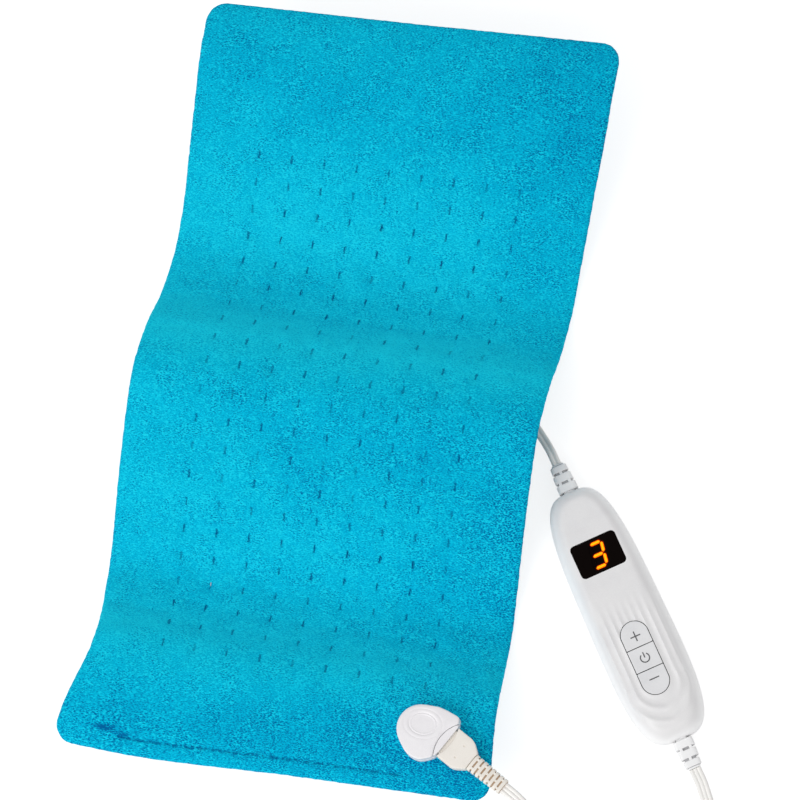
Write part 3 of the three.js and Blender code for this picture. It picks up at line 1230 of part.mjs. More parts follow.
const mainsPlug = new THREE.Group();
mainsPlug.position.set(MAINS_PLUG_X, coilY + COIL_OUTER_RADIUS, 0);
mainsPlug.rotation.z = Math.PI;
mainsPlug.updateMatrixWorld();
object.add(mainsPlug);
const bodyShares = [[0, 0.7, 0.75], [0.12, 0.95, 0.95], [0.3, 1, 1], [0.8, 1, 1], [0.97, 0.94, 0.92], [1, 0.86, 0.84]];
const bladePockets = [-1, 1].map((side) => block(
  [
    TAIL_LENGTH + BODY_LENGTH - BLADE_ROOT - FIT_GAP,
    (side * BLADE_SPACING - BLADE_THICKNESS) / 2 - FIT_GAP,
    MAINS_PLUG_CENTRE - BLADE_WIDTH / 2 - FIT_GAP,
  ],
  [
    TAIL_LENGTH + BODY_LENGTH + OVERRUN,
    (side * BLADE_SPACING + BLADE_THICKNESS) / 2 + FIT_GAP,
    MAINS_PLUG_CENTRE + BLADE_WIDTH / 2 + FIT_GAP,
  ],
));
piece('mains_plug_body', cut(
  loft([
    crossRing(0, TAIL_WIDTH / 2, TAIL_HEIGHT / 2, MAINS_PLUG_CENTRE),
    crossRing(TAIL_LENGTH, (TAIL_WIDTH / 2) * 1.2, (TAIL_HEIGHT / 2) * 1.2, MAINS_PLUG_CENTRE),
    ...bodyShares.map(([distance, width, height]) => crossRing(
      TAIL_LENGTH + distance * BODY_LENGTH, (BODY_WIDTH / 2) * width, (BODY_HEIGHT / 2) * height, MAINS_PLUG_CENTRE)),
  ]),
  ...bladePockets,
), whitePlastic, mainsPlug);
[-1, 1].forEach((side, i) => {
  const start = TAIL_LENGTH + BODY_LENGTH - BLADE_ROOT;
  const end = start + BLADE_ROOT + BLADE_LENGTH;
  const tip = BLADE_WIDTH / 3;
  const shape = outline([
    [start, -BLADE_WIDTH / 2], [end - tip, -BLADE_WIDTH / 2], [end, -BLADE_WIDTH / 6], [end, BLADE_WIDTH / 6],
    [end - tip, BLADE_WIDTH / 2], [start, BLADE_WIDTH / 2],
  ]);
  const hole = new THREE.Path();
  hole.absarc(end - BLADE_WIDTH * 0.6, 0, BLADE_HOLE / 2, 0, Math.PI * 2, true);
  shape.holes.push(hole);
  const blade = prism(shape, -BLADE_THICKNESS / 2, BLADE_THICKNESS / 2, 4).rotateX(Math.PI / 2);
  piece(`plug_blade_${i + 1}`, blade.translate(0, (side * BLADE_SPACING) / 2, MAINS_PLUG_CENTRE), brass, mainsPlug);
});

// The lead's end, from the coil's upper layer to the plug

const coilExit = new THREE.Vector3(coilX, coilY + COIL_OUTER_RADIUS, coilHigh);
const tailDrop = [[0.3, 0.93], [0.45, 0.72], [0.6, 0.53], [0.75, 0.46]];
const tailEnd = placed(mainsPlug, -FIT_GAP, 0, MAINS_PLUG_CENTRE);
piece('mains_lead_end', lead(route([
  coilExit.clone().add(new THREE.Vector3(-FIT_GAP, 0, 0)),
  coilExit.clone().add(new THREE.Vector3(-MAINS_WIDTH, 0, 0)),
  ...tailDrop.map(([share, height]) => new THREE.Vector3(
    THREE.MathUtils.lerp(coilExit.x, tailEnd.x, share), coilExit.y, coilExit.z * height)),
  placed(mainsPlug, -MAINS_WIDTH, 0, MAINS_PLUG_CENTRE),
  tailEnd,
]), flatSection(MAINS_WIDTH, MAINS_THICKNESS, true), 14, (share) => (1 - smooth(share, 0.2, 0.8)) * (Math.PI / 2)), leadWhite);

export default object;
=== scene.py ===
"""A heating pad with a hand controller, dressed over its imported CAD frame."""

import logging
import math
from bisect import bisect_left
from collections.abc import Callable
from dataclasses import dataclass, field
from enum import Enum
from functools import lru_cache

import bmesh
import bpy
from bmesh.types import BMesh, BMVert
from bpy.types import Material, NodeSocket, Object
from mathutils import Color, Matrix, Vector, noise
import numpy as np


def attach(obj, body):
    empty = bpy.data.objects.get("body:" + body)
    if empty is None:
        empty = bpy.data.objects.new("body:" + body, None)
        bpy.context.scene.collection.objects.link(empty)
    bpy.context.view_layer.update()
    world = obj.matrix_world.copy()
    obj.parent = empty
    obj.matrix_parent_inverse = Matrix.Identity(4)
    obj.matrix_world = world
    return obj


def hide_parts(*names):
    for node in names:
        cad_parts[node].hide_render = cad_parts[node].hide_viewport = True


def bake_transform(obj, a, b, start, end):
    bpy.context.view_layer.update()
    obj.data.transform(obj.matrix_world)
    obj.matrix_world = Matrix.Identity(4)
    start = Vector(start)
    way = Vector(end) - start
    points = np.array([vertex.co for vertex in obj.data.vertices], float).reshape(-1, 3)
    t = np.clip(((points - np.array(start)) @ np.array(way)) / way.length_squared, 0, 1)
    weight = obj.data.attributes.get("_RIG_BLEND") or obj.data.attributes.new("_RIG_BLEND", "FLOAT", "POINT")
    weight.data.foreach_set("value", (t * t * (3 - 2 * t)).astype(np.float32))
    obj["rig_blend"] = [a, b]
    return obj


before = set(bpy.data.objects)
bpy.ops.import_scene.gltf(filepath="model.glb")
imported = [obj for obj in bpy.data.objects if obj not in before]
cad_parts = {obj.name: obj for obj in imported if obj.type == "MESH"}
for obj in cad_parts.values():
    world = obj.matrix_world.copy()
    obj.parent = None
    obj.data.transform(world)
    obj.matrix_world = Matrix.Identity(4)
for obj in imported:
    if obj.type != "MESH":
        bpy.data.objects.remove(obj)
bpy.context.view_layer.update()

MM = 0.001
ROOT = "pad_and_controller"
PLUG = "lead_plug"

log = logging.getLogger("heating_pad")

Rgba = tuple[float, float, float, float]
Pair = tuple[float, float]
Triple = tuple[float, float, float]
Spots = tuple[tuple[float, float, float, float, float], ...]


def srgb(red: int, green: int, blue: int) -> Rgba:
    """A colour given in steps of 0 to 255, as Blender's linear values."""
    linear = Color((red / 255, green / 255, blue / 255)).from_srgb_to_scene_linear()
    return (linear.r, linear.g, linear.b, 1.0)


def clamp(value: float, low: float = 0.0, high: float = 1.0) -> float:
    """A value held between two others."""
    return min(max(value, low), high)


def smooth(value: float, low: float, high: float) -> float:
    """A soft step from 0 at low to 1 at high."""
    share = clamp((value - low) / (high - low))
    return share * share * (3 - 2 * share)


def mix(first: float, second: float, share: float) -> float:
    """A value between two others."""
    return first + (second - first) * share


def spread(first: float, last: float, steps: int) -> list[float]:
    """Evenly spaced values, both ends included."""
    return [mix(first, last, i / steps) for i in range(steps + 1)]


# Materials

WHITE_LIGHT = (1.0, 1.0, 1.0, 1.0)


class Wire:
    """A value in a node tree, whose arithmetic adds Math nodes."""

    def __init__(self, graph: "Graph", socket: NodeSocket) -> None:
        """Holds one output of the tree."""
        self.graph = graph
        self.socket = socket

    def __add__(self, other: "Wire | float") -> "Wire":
        """The sum with another value."""
        return self.graph.compute("ADD", self, other)

    def __sub__(self, other: "Wire | float") -> "Wire":
        """The difference from another value."""
        return self.graph.compute("SUBTRACT", self, other)

    def __mul__(self, other: "Wire | float") -> "Wire":
        """The product with another value."""
        return self.graph.compute("MULTIPLY", self, other)

    def __abs__(self) -> "Wire":
        """The value without its sign."""
        return self.graph.compute("ABSOLUTE", self)


class Graph:
    """A material's or a world's node tree, with short calls for the nodes that the finishes use."""

    def __init__(self, owner: bpy.types.ID) -> None:
        """Empties the owner's tree."""
        self.owner = owner
        owner.use_nodes = True
        self.tree = owner.node_tree
        self.tree.nodes.clear()

    def add(self, kind: str, inputs: dict, output: int | str = 0, **settings: object) -> Wire:
        """Adds a node.

        Args:
            kind: The node's type, after the word ShaderNode.
            inputs: Values or wires by input name or number.
            output: The output that is wanted.
            settings: The node's properties.

        Returns:
            The output.
        """
        node = self.tree.nodes.new("ShaderNode" + kind)
        for key, value in settings.items():
            setattr(node, key, value)
        for key, value in inputs.items():
            if isinstance(value, Wire):
                self.tree.links.new(value.socket, node.inputs[key])
            else:
                node.inputs[key].default_value = value
        return Wire(self, node.outputs[output])

    def end(self, kind: str, shader: Wire) -> bpy.types.ID:
        """Ends the tree in its output node and returns the tree's owner."""
        node = self.tree.nodes.new("ShaderNodeOutput" + kind)
        self.tree.links.new(shader.socket, node.inputs[0])
        return self.owner

    def place(self, scale: Triple = (1, 1, 1), turn: float = 0.0, shift: Triple = (0, 0, 0)) -> Wire:
        """Object coordinates, scaled, turned about Z and shifted."""
        source = self.add("TexCoord", {}, "Object")
        return self.add("Mapping", {"Vector": source, "Scale": scale, "Rotation": (0, 0, turn), "Location": shift})

    def local(self, place: "Frame") -> tuple[Wire, Wire]:
        """Object coordinates in one of the object's flat frames, in millimetres: along and across."""
        angle = math.radians(-place.degrees)
        shift = Matrix.Rotation(angle, 3, "Z") @ Vector((-place.x, -place.y, -place.z))
        moved = self.place((1 / MM, 1 / MM, 1 / MM), angle, shift)
        return self.add("SeparateXYZ", {0: moved}, 0), self.add("SeparateXYZ", {0: moved}, 1)

    def value(self, name: str) -> Wire:
        """A number that the piece's vertices carry."""
        return self.add("Attribute", {}, "Fac", attribute_name=name)

    def compute(self, operation: str, *values: Wire | float) -> Wire:
        """A Math node on one or two values."""
        return self.add("Math", dict(enumerate(values)), operation=operation)

    def vector(self, x: Wire | float, y: Wire | float) -> Wire:
        """A vector in a plane, made of two values."""
        return self.add("CombineXYZ", {0: x, 1: y})

    def noise(self, vector: Wire, scale: float, detail: float = 2.0, rough: float = 0.5) -> Wire:
        """Noise from 0 to 1."""
        return self.add("TexNoise", {"Vector": vector, "Scale": scale, "Detail": detail, "Roughness": rough})

    def cells(self, vector: Wire, scale: float) -> Wire:
        """The distance to the nearest of scattered points."""
        return self.add("TexVoronoi", {"Vector": vector, "Scale": scale}, "Distance")

    def step(self, value: Wire, low: float, high: float, start: float = 0.0, end: float = 1.0) -> Wire:
        """A value mapped softly from low and high to start and end."""
        return self.add("MapRange", {0: value, 1: low, 2: high, 3: start, 4: end}, interpolation_type="SMOOTHSTEP")

    def ramp(self, factor: Wire, stops: list[tuple[float, Rgba]]) -> Wire:
        """A colour that runs through stops."""
        color = self.add("ValToRGB", {0: factor})
        elements = color.socket.node.color_ramp.elements
        while len(elements) < len(stops):
            elements.new(0.5)
        for element, (place, stop) in zip(elements, stops):
            element.position = place
            element.color = stop
        return color

    def blend(self, factor: Wire | float, first: Wire | Rgba, second: Wire | Rgba, mode: str = "MIX") -> Wire:
        """Two colours mixed."""
        return self.add("Mix", {0: factor, 6: first, 7: second}, 2, data_type="RGBA", blend_type=mode)

    def bump(self, height: Wire, depth: float, strength: float) -> Wire:
        """A bumped normal; depth is the height's full size in metres."""
        return self.add("Bump", {"Height": height, "Distance": depth, "Strength": strength})

    def surface(self, inputs: dict) -> Material:
        """Ends the tree in one principled surface and returns the material."""
        return self.end("Material", self.add("BsdfPrincipled", inputs))


@dataclass(frozen=True)
class Finish:
    """A surface finish, which makes its material once."""

    name: str

    @lru_cache(maxsize=None)
    def material(self) -> Material:
        """The finish's material, made at its first use."""
        return self.build(Graph(bpy.data.materials.new(self.name)))

    def build(self, graph: Graph) -> Material:
        """Builds the material's tree."""
        raise NotImplementedError


@dataclass(frozen=True)
class Plastic(Finish):
    """Moulded plastic: a fine grain, faint clouds in the colour, dust in the gloss and, where rim is set, a painted
    highlight that pales the colour on faces seen at a slant.
    """

    color: Rgba = (0.8, 0.8, 0.8, 1.0)
    cloud: Rgba = (0.7, 0.7, 0.7, 1.0)
    rough: float = 0.38
    gloss: float = 0.0
    # How strongly that painted highlight pales the colour.
    rim: float = 0.0

    def tint(self, graph: Graph, color: Wire) -> Wire:
        """The colour as it is shown."""
        return color

    def build(self, graph: Graph) -> Material:
        """Builds the moulded plastic's tree."""
        place = graph.place()
        clouds = graph.noise(place, 38.0, 4.0, 0.6)
        grain = graph.noise(place, 2600.0, 2.0, 0.6)
        flow = graph.noise(graph.place((60.0, 240.0, 240.0), 0.98), 1.0, 3.0)
        color = graph.blend(graph.step(clouds, 0.42, 0.78), self.color, self.cloud)
        shade = graph.ramp(grain, [(0.3, (0.93, 0.93, 0.93, 1)), (0.7, WHITE_LIGHT)])
        color = graph.blend(1.0, color, shade, "MULTIPLY")
        # Painted highlight: the colour turns towards white where the face is seen at a slant.
        if self.rim:
            facing = graph.add("LayerWeight", {"Blend": 0.5}, "Facing")
            color = graph.blend(graph.step(facing, 0.12, 0.6, 0.0, self.rim), color, WHITE_LIGHT)
        return graph.surface({
            "Base Color": self.tint(graph, color),
            "Roughness": graph.step(clouds, 0.3, 0.8, self.rough - 0.06, self.rough + 0.1),
            "Normal": graph.bump(flow * 0.35 + grain, 0.00003, 0.6),
            "Coat Weight": self.gloss,
            "Coat Roughness": 0.12,
            "IOR": 1.47,
        })


@dataclass(frozen=True)
class GrooveShaded(Plastic):
    """A moulded finish with painted shade in its grooves, which are marked on the piece's vertices."""

    # The colour of the painted shade in the grooves.
    groove: Rgba = srgb(178, 150, 122)

    def tint(self, graph: Graph, color: Wire) -> Wire:
        """The colour with the painted shade of the grooves over it."""
        return graph.blend(graph.step(graph.value("groove"), 0.25, 0.85), color, self.groove)


@dataclass(frozen=True)
class Plush(Finish):
    """Knitted plush: short pile in rows, painted bands of light and shade, the tacks' nicks and the closing seam.

    Places are in millimetres, across from the pad's middle and along from its top end. The
    spots of painted light and shade, and the worn spots that coarsen the pile, are humps:
    across, along, the reach both ways and the height.
    """

    deep: Rgba = srgb(0, 96, 154)
    body: Rgba = srgb(0, 164, 206)
    light: Rgba = srgb(0, 188, 222)
    tip: Rgba = srgb(24, 212, 236)
    thread: Rgba = srgb(0, 70, 130)
    pitch: Pair = (24.625, 20.8)
    first: Pair = (-98.5, 113.5)
    last: Pair = (98.5, 529.5)
    nick_half: float = 2.4
    seam_at: float = 598.0
    seam_start: float = -112.0
    seam_end: float = 84.0
    # Painted light and shade: lighter bands on the folds' slopes, darker bands at the creases and the ends, and two
    # small darker spots by the seam's end.
    painted_light_and_shade: Spots = (
        (0.0, 60.0, 900.0, 40.0, -0.03), (-60.0, 172.0, 220.0, 62.0, 0.065), (0.0, 266.0, 900.0, 30.0, 0.135),
        (-80.0, 402.0, 180.0, 62.0, 0.035), (0.0, 514.0, 900.0, 32.0, 0.09), (0.0, 596.0, 900.0, 30.0, -0.045),
        (95.0, 235.0, 50.0, 55.0, 0.04), (10.0, 350.0, 70.0, 45.0, -0.045), (30.0, 572.0, 110.0, 28.0, -0.05),
        (-119.0, 593.5, 6.0, 2.0, -0.25), (-108.0, 596.0, 5.0, 1.6, -0.12))
    worn: Spots = ((100.0, 560.0, 48.0, 40.0, 1.1), (-132.0, 596.0, 24.0, 9.0, 0.5), (138.0, 400.0, 22.0, 90.0, 0.9))

    def nicks(self, graph: Graph, across: Wire, along: Wire) -> Wire:
        """Where the pile parts over each tack, as a mask."""
        spot = graph.vector(across, along)
        shifted = graph.noise(spot, 0.7, 2.0) * 3.2 + (across - 1.6)
        near_x = graph.compute("PINGPONG", shifted - self.first[0], self.pitch[0] / 2)
        near_s = graph.compute("PINGPONG", along - self.first[1], self.pitch[1] / 2)
        past = graph.compute("MAXIMUM", near_s - self.nick_half, 0.0)
        apart = graph.compute("SQRT", near_x * near_x + past * past)
        inside_x = graph.step(abs(across), self.last[0] + 5, self.last[0] + 7, 1.0, 0.0)
        middle, reach = (self.first[1] + self.last[1]) / 2, (self.last[1] - self.first[1]) / 2
        inside_s = graph.step(abs(along - middle), reach + 5, reach + 7, 1.0, 0.0)
        uneven = graph.step(graph.noise(spot, 0.045, 1.0), 0.3, 0.62, 0.45, 1.0)
        return graph.step(apart, 0.3, 1.1, 1.0, 0.0) * uneven * (inside_x * inside_s)

    def seam(self, graph: Graph, across: Wire, along: Wire) -> Wire:
        """The closing seam near the bottom end, as a mask that wavers."""
        spot = graph.vector(across, along)
        waver = graph.noise(graph.vector(across, 0.0), 0.16, 2.0)
        off = abs(waver * 2.2 + (along - (self.seam_at + 1.1)))
        line = graph.step(graph.noise(spot, 0.8, 2.0) * 2.6 + off, 1.5, 3.1, 1.0, 0.0)
        stitches = graph.step(graph.noise(spot, 0.32, 1.0), 0.38, 0.56, 0.15, 1.0)
        ended = graph.step(across, self.seam_end, self.seam_end + 5, 1.0, 0.0)
        return line * stitches * (ended * graph.step(across, self.seam_start - 5, self.seam_start + 5))

    def humps(self, graph: Graph, across: Wire, along: Wire, spots: Spots) -> Wire | float:
        """The sum of soft humps at the given spots."""
        found = 0.0
        for x, s, wide, high, height in spots:
            off_x = graph.compute("DIVIDE", across - x, wide)
            off_s = graph.compute("DIVIDE", along - s, high)
            found = graph.compute("EXPONENT", (off_x * off_x + off_s * off_s) * -1.0) * height + found
        return found

    def build(self, graph: Graph) -> Material:
        """Builds the plush's tree."""
        across, along = graph.value("across"), graph.value("along")
        flat = graph.vector(across, along)
        drawn = graph.vector(across * 0.45, along)
        pile = graph.noise(flat, 1.7, 2.0, 0.7)
        knit = graph.noise(drawn, 1.6, 1.0, 0.6) * 0.5 + graph.cells(drawn, 1.35) * 0.33
        fur = pile * 0.24 + knit
        # Painted light and shade: the bands above, and the pad painted darker towards its right side.
        painted_shading = self.humps(graph, across, along, self.painted_light_and_shade) + graph.step(across, 30.0, 135.0, 0.0, -0.045)
        patches = graph.step(graph.noise(flat, 0.055, 3.0, 0.6), 0.42, 0.62)
        rough = patches + self.humps(graph, across, along, self.worn)
        fine = (fur - 0.52) * (rough * 0.62 + 0.88)
        broad = graph.noise(flat, 0.022, 3.0, 0.55) * 0.14 + (rough * -0.022 + painted_shading)
        color = graph.ramp(
            fine + broad + 0.445, [(0.33, self.deep), (0.45, self.body), (0.56, self.light), (0.68, self.tip)])
        marks = graph.compute("MAXIMUM", self.nicks(graph, across, along), self.seam(graph, across, along))
        dark = marks * graph.step(pile, 0.3, 0.6, 1.0, 0.55)
        height = graph.cells(flat, 0.95) * -0.35 + fur - marks * 0.9
        return graph.surface({
            "Base Color": graph.blend(dark, color, self.thread),
            "Roughness": 0.95,
            "Normal": graph.bump(height, 0.0011, 0.55),
            "Sheen Weight": 0.08,
            "Sheen Roughness": 0.5,
            "Sheen Tint": srgb(20, 190, 240),
            "Specular IOR Level": 0.05,
        })


@dataclass(frozen=True)
class Thread(Finish):
    """Sewing thread with its twist."""

    color: Rgba = srgb(0, 96, 154)
    shadow: Rgba = srgb(0, 66, 128)

    def build(self, graph: Graph) -> Material:
        """Builds the thread's tree."""
        twist = graph.noise(graph.place((1400.0, 500.0, 500.0)), 1.0, 2.0)
        return graph.surface({
            "Base Color": graph.ramp(twist, [(0.3, self.shadow), (0.7, self.color)]),
            "Roughness": 0.9,
            "Normal": graph.bump(twist, 0.0002, 0.5),
            "Specular IOR Level": 0.05,
        })


@dataclass(frozen=True)
class Sheath(Finish):
    """A lead's soft white sheath: faint lines along it, clouds and a little handling."""

    color: Rgba = srgb(244, 242, 238)
    cloud: Rgba = srgb(234, 231, 225)

    def build(self, graph: Graph) -> Material:
        """Builds the sheath's tree."""
        across, along = graph.value("across"), graph.value("along")
        lines = graph.noise(graph.vector(across * 2.4, along * 0.03), 1.0, 3.0)
        clouds = graph.noise(graph.vector(across, along), 0.045, 3.0)
        skin = graph.noise(graph.place(), 1500.0, 2.0)
        shade = graph.ramp(lines, [(0.35, (0.94, 0.94, 0.94, 1)), (0.6, WHITE_LIGHT)])
        color = graph.blend(graph.step(clouds, 0.45, 0.75), self.color, self.cloud)
        return graph.surface({
            "Base Color": graph.blend(1.0, color, shade, "MULTIPLY"),
            "Roughness": graph.step(clouds, 0.3, 0.7, 0.4, 0.52),
            "Normal": graph.bump(lines * 0.5 + skin, 0.00006, 0.5),
        })


class Grain(Enum):
    """How a metal part was finished: the scale of its marks along and across."""

    DRAWN = (40.0, 900.0)
    TURNED = (700.0, 700.0)


@dataclass(frozen=True)
class Metal(Finish):
    """Bare metal: fine marks of its making, and a tarnish in clouds."""

    color: Rgba = srgb(200, 200, 204)
    tarnish: Rgba = srgb(150, 150, 156)
    grain: Grain = Grain.DRAWN
    rough: float = 0.28

    def build(self, graph: Graph) -> Material:
        """Builds the metal's tree."""
        along, across = self.grain.value
        marks = graph.noise(graph.place((along, across, across)), 1.0, 3.0)
        clouds = graph.noise(graph.place(), 160.0, 3.0)
        return graph.surface({
            "Base Color": graph.blend(graph.step(clouds, 0.45, 0.75), self.color, self.tarnish),
            "Metallic": 1.0,
            "Roughness": graph.step(marks, 0.3, 0.7, self.rough - 0.06, self.rough + 0.14),
            "Normal": graph.bump(marks, 0.00004, 0.5),
        })


@dataclass(frozen=True)
class Felt(Finish):
    """Pressed felt: matted fibres in two sizes."""

    color: Rgba = srgb(232, 228, 220)
    shadow: Rgba = srgb(206, 201, 190)

    def build(self, graph: Graph) -> Material:
        """Builds the felt's tree."""
        place = graph.place()
        fibres = graph.noise(place, 900.0, 5.0, 0.7)
        return graph.surface({
            "Base Color": graph.ramp(fibres, [(0.3, self.shadow), (0.65, self.color)]),
            "Roughness": 1.0,
            "Normal": graph.bump(fibres + graph.noise(place, 120.0, 3.0), 0.0006, 0.7),
            "Sheen Weight": 0.3,
        })


@dataclass(frozen=True)
class Laminate(Finish):
    """A circuit board: solder mask over tracks, with the weave of the glass below."""

    mask: Rgba = srgb(24, 96, 52)
    track: Rgba = srgb(52, 138, 80)

    def build(self, graph: Graph) -> Material:
        """Builds the laminate's tree."""
        local = graph.place(turn=math.radians(-CONTROLLER.degrees))
        tracks = graph.add("TexBrick", {
            "Vector": local, "Scale": 90.0, "Mortar Size": 0.018, "Color1": (0, 0, 0, 1),
            "Color2": (0.1, 0.1, 0.1, 1), "Mortar": WHITE_LIGHT}, offset=0.37, squash=0.6)
        weave = graph.add("TexWave", {"Vector": local, "Scale": 420.0}, 1, bands_direction="DIAGONAL")
        return graph.surface({
            "Base Color": graph.blend(tracks, self.mask, self.track),
            "Roughness": graph.step(weave, 0.0, 1.0, 0.3, 0.5),
            "Normal": graph.bump(tracks * 2.0 + weave, 0.00004, 0.6),
            "Coat Weight": 0.3,
        })


@dataclass(frozen=True)
class Glass(Finish):
    """The display's dark window: deep gloss, faint wiping marks and a painted red glow round the digit."""

    color: Rgba = srgb(10, 5, 4)
    # The colours of the painted glow: the glass's tint near the digit and its red emission.
    near_digit: Rgba = srgb(60, 12, 4)
    rim: Rgba = srgb(170, 24, 0)

    def build(self, graph: Graph) -> Material:
        """Builds the window's tree."""
        near = DIGIT.distance(graph)
        marks = graph.noise(graph.place((30.0, 160.0, 60.0), 0.6), 1.0, 3.0)
        return graph.surface({
            # Painted glow: near the lit bars the glass turns red and glows, as if lit by the digit below.
            "Base Color": graph.blend(graph.step(near, 0.9, 2.6, 0.5, 0.0), self.color, self.near_digit),
            "Roughness": graph.step(marks, 0.35, 0.8, 0.07, 0.16),
            "Normal": graph.bump(graph.noise(graph.place(), 90.0, 2.0), 0.00003, 0.3),
            "Emission Color": self.rim,
            "Emission Strength": graph.step(near, 0.75, 1.75, 1.1, 0.0),
            "Specular IOR Level": 0.02,
        })


@dataclass(frozen=True)
class Glow(Finish):
    """The digit's light guide: amber where its bar is lit, dark where it isn't."""

    hot: Rgba = srgb(255, 190, 16)
    edge: Rgba = srgb(255, 92, 0)
    unlit: Rgba = srgb(9, 4, 4)
    guide: Rgba = srgb(180, 90, 10)

    def build(self, graph: Graph) -> Material:
        """Builds the light guide's tree."""
        near = DIGIT.distance(graph)
        warm = near + graph.noise(graph.place(), 500.0, 2.0) * 0.4
        lit = graph.step(near, 1.1, 1.35, 1.0, 0.0)
        return graph.surface({
            "Base Color": graph.blend(lit, self.unlit, self.guide),
            "Roughness": 0.3,
            "Specular IOR Level": 0.02,
            "Emission Color": graph.ramp(graph.step(warm, 0.6, 1.2), [(0.0, self.hot), (1.0, self.edge)]),
            "Emission Strength": lit * 1.05,
        })


@dataclass(frozen=True)
class Ink(Finish):
    """Printed marking: dark grey, a little broken."""

    color: Rgba = srgb(72, 72, 74)
    worn: Rgba = srgb(98, 98, 100)

    def build(self, graph: Graph) -> Material:
        """Builds the ink's tree."""
        speck = graph.noise(graph.place(), 3200.0, 2.0)
        return graph.surface({
            "Base Color": graph.ramp(speck, [(0.3, self.color), (0.75, self.worn)]),
            "Roughness": graph.step(speck, 0.3, 0.7, 0.45, 0.6),
        })


@dataclass(frozen=True)
class Digit:
    """The lit digit on the display: which bars are lit and where they lie on the controller."""

    centre: float = -45.5
    half_height: float = 8.8
    half_width: float = 4.6
    slant: float = 9.0
    trim: float = 1.9
    level: Triple = (-1.0, 0.0, 1.0)
    right: Pair = (-0.5, 0.5)

    def distance(self, graph: Graph) -> Wire:
        """The distance to the nearest lit bar's spine, in millimetres."""
        along, across = graph.local(CONTROLLER)
        down = along - self.centre
        upright = down * math.tan(math.radians(self.slant)) + across
        spans = [(k * self.half_height, 0.0, 0.0, self.half_width - self.trim) for k in self.level]
        spans += [(k * self.half_height, self.half_width, self.half_height / 2 - self.trim, 0.0) for k in self.right]
        found = None
        for x, y, reach_x, reach_y in spans:
            past_x = graph.compute("MAXIMUM", abs(down - x) - reach_x, 0.0)
            past_y = graph.compute("MAXIMUM", abs(upright - y) - reach_y, 0.0)
            apart = graph.compute("SQRT", past_x * past_x + past_y * past_y)
            found = apart if found is None else graph.compute("MINIMUM", found, apart)
        return found


# Meshes


@dataclass(frozen=True)
class Frame:
    """A flat frame of the object: its origin in millimetres and its turn about Z in degrees."""

    x: float
    y: float
    z: float
    degrees: float

    def at(self, x: float, y: float, z: float) -> Vector:
        """A point of this frame, in the object's frame."""
        return self.matrix() @ Vector((x, y, z))

    def matrix(self) -> Matrix:
        """The frame as a matrix, in millimetres."""
        return Matrix.Translation((self.x, self.y, self.z)) @ Matrix.Rotation(math.radians(self.degrees), 4, "Z")

    def metres(self) -> Matrix:
        """The frame as a matrix for meshes that are still drawn in millimetres."""
        return Matrix.Scale(MM, 4) @ self.matrix()


SOCKET = Frame(106.906, -91.791, 46.061, -29.0)
CONTROLLER = Frame(230.0, 18.0, 0.0, -56.0)
MAINS_PLUG = Frame(0.0, 167.55, 0.0, 180.0)
COIL = Frame(71.98, 118.95, 0.0, 200.0)
# The keys' capsule on the controller: its two ends and its radius.
CAPSULE = (9.5, 66.5, 10.3)


# The angle in degrees from which an edge is shaded sharp, and the step along a lead in millimetres.
SHARP = 35.0
STATION = 3.0


class Line:
    """A smooth line through points, the centripetal kind, read by its length."""

    def __init__(self, points: list[Vector], fine: int = 24) -> None:
        """Draws the line.

        Args:
            points: The places it goes through, in millimetres.
            fine: Short steps between two points for measuring it.
        """
        self.points = [Vector(point) for point in points]
        spans = len(self.points) - 1
        self.track = [self.between(i / (spans * fine)) for i in range(spans * fine + 1)]
        self.marks = [0.0]
        for before, after in zip(self.track, self.track[1:]):
            self.marks.append(self.marks[-1] + (after - before).length)

    @property
    def length(self) -> float:
        """The line's length."""
        return self.marks[-1]

    def between(self, share: float) -> Vector:
        """The point at a share of the spans."""
        spans = len(self.points) - 1
        index = min(int(share * spans), spans - 1)
        weight = share * spans - index
        p1, p2 = self.points[index], self.points[index + 1]
        p0 = self.points[index - 1] if index > 0 else p1 * 2 - p2
        p3 = self.points[index + 2] if index + 2 <= spans else p2 * 2 - p1
        d0, d1, d2 = ((b - a).length ** 0.5 for a, b in ((p0, p1), (p1, p2), (p2, p3)))
        t1 = ((p1 - p0) / d0 - (p2 - p0) / (d0 + d1) + (p2 - p1) / d1) * d1
        t2 = ((p2 - p1) / d1 - (p3 - p1) / (d1 + d2) + (p3 - p2) / d2) * d1
        w2, w3 = weight * weight, weight**3
        return p1 + t1 * weight + (p2 * 3 - p1 * 3 - t1 * 2 - t2) * w2 + (p1 * 2 - p2 * 2 + t1 + t2) * w3

    def at(self, share: float) -> Vector:
        """The point at a share of the length."""
        target = clamp(share) * self.length
        index = clamp(bisect_left(self.marks, target), 1, len(self.marks) - 1)
        before, after = self.marks[index - 1], self.marks[index]
        return self.track[index - 1].lerp(self.track[index], (target - before) / max(after - before, 1e-9))

    def way(self, share: float) -> Vector:
        """The line's direction at a share of its length."""
        step = 0.5 / self.length
        return (self.at(min(share + step, 1)) - self.at(max(share - step, 0))).normalized()

    def stations(self, pitch: float) -> list[Vector]:
        """Points along the line, a pitch apart."""
        count = max(round(self.length / pitch), 2)
        return [self.at(i / count) for i in range(count + 1)]


def rounded(angle: float, half_x: float, half_y: float, power: float) -> Pair:
    """A point of a rounded outline between an ellipse and a box."""
    c, s = math.cos(angle), math.sin(angle)
    return half_x * math.copysign(abs(c) ** (2 / power), c), half_y * math.copysign(abs(s) ** (2 / power), s)


def oval(count: int, half_x: float, half_y: float, power: float) -> list[Pair]:
    """A rounded outline between an ellipse and a box."""
    return [rounded(i / count * math.tau, half_x, half_y, power) for i in range(count)]


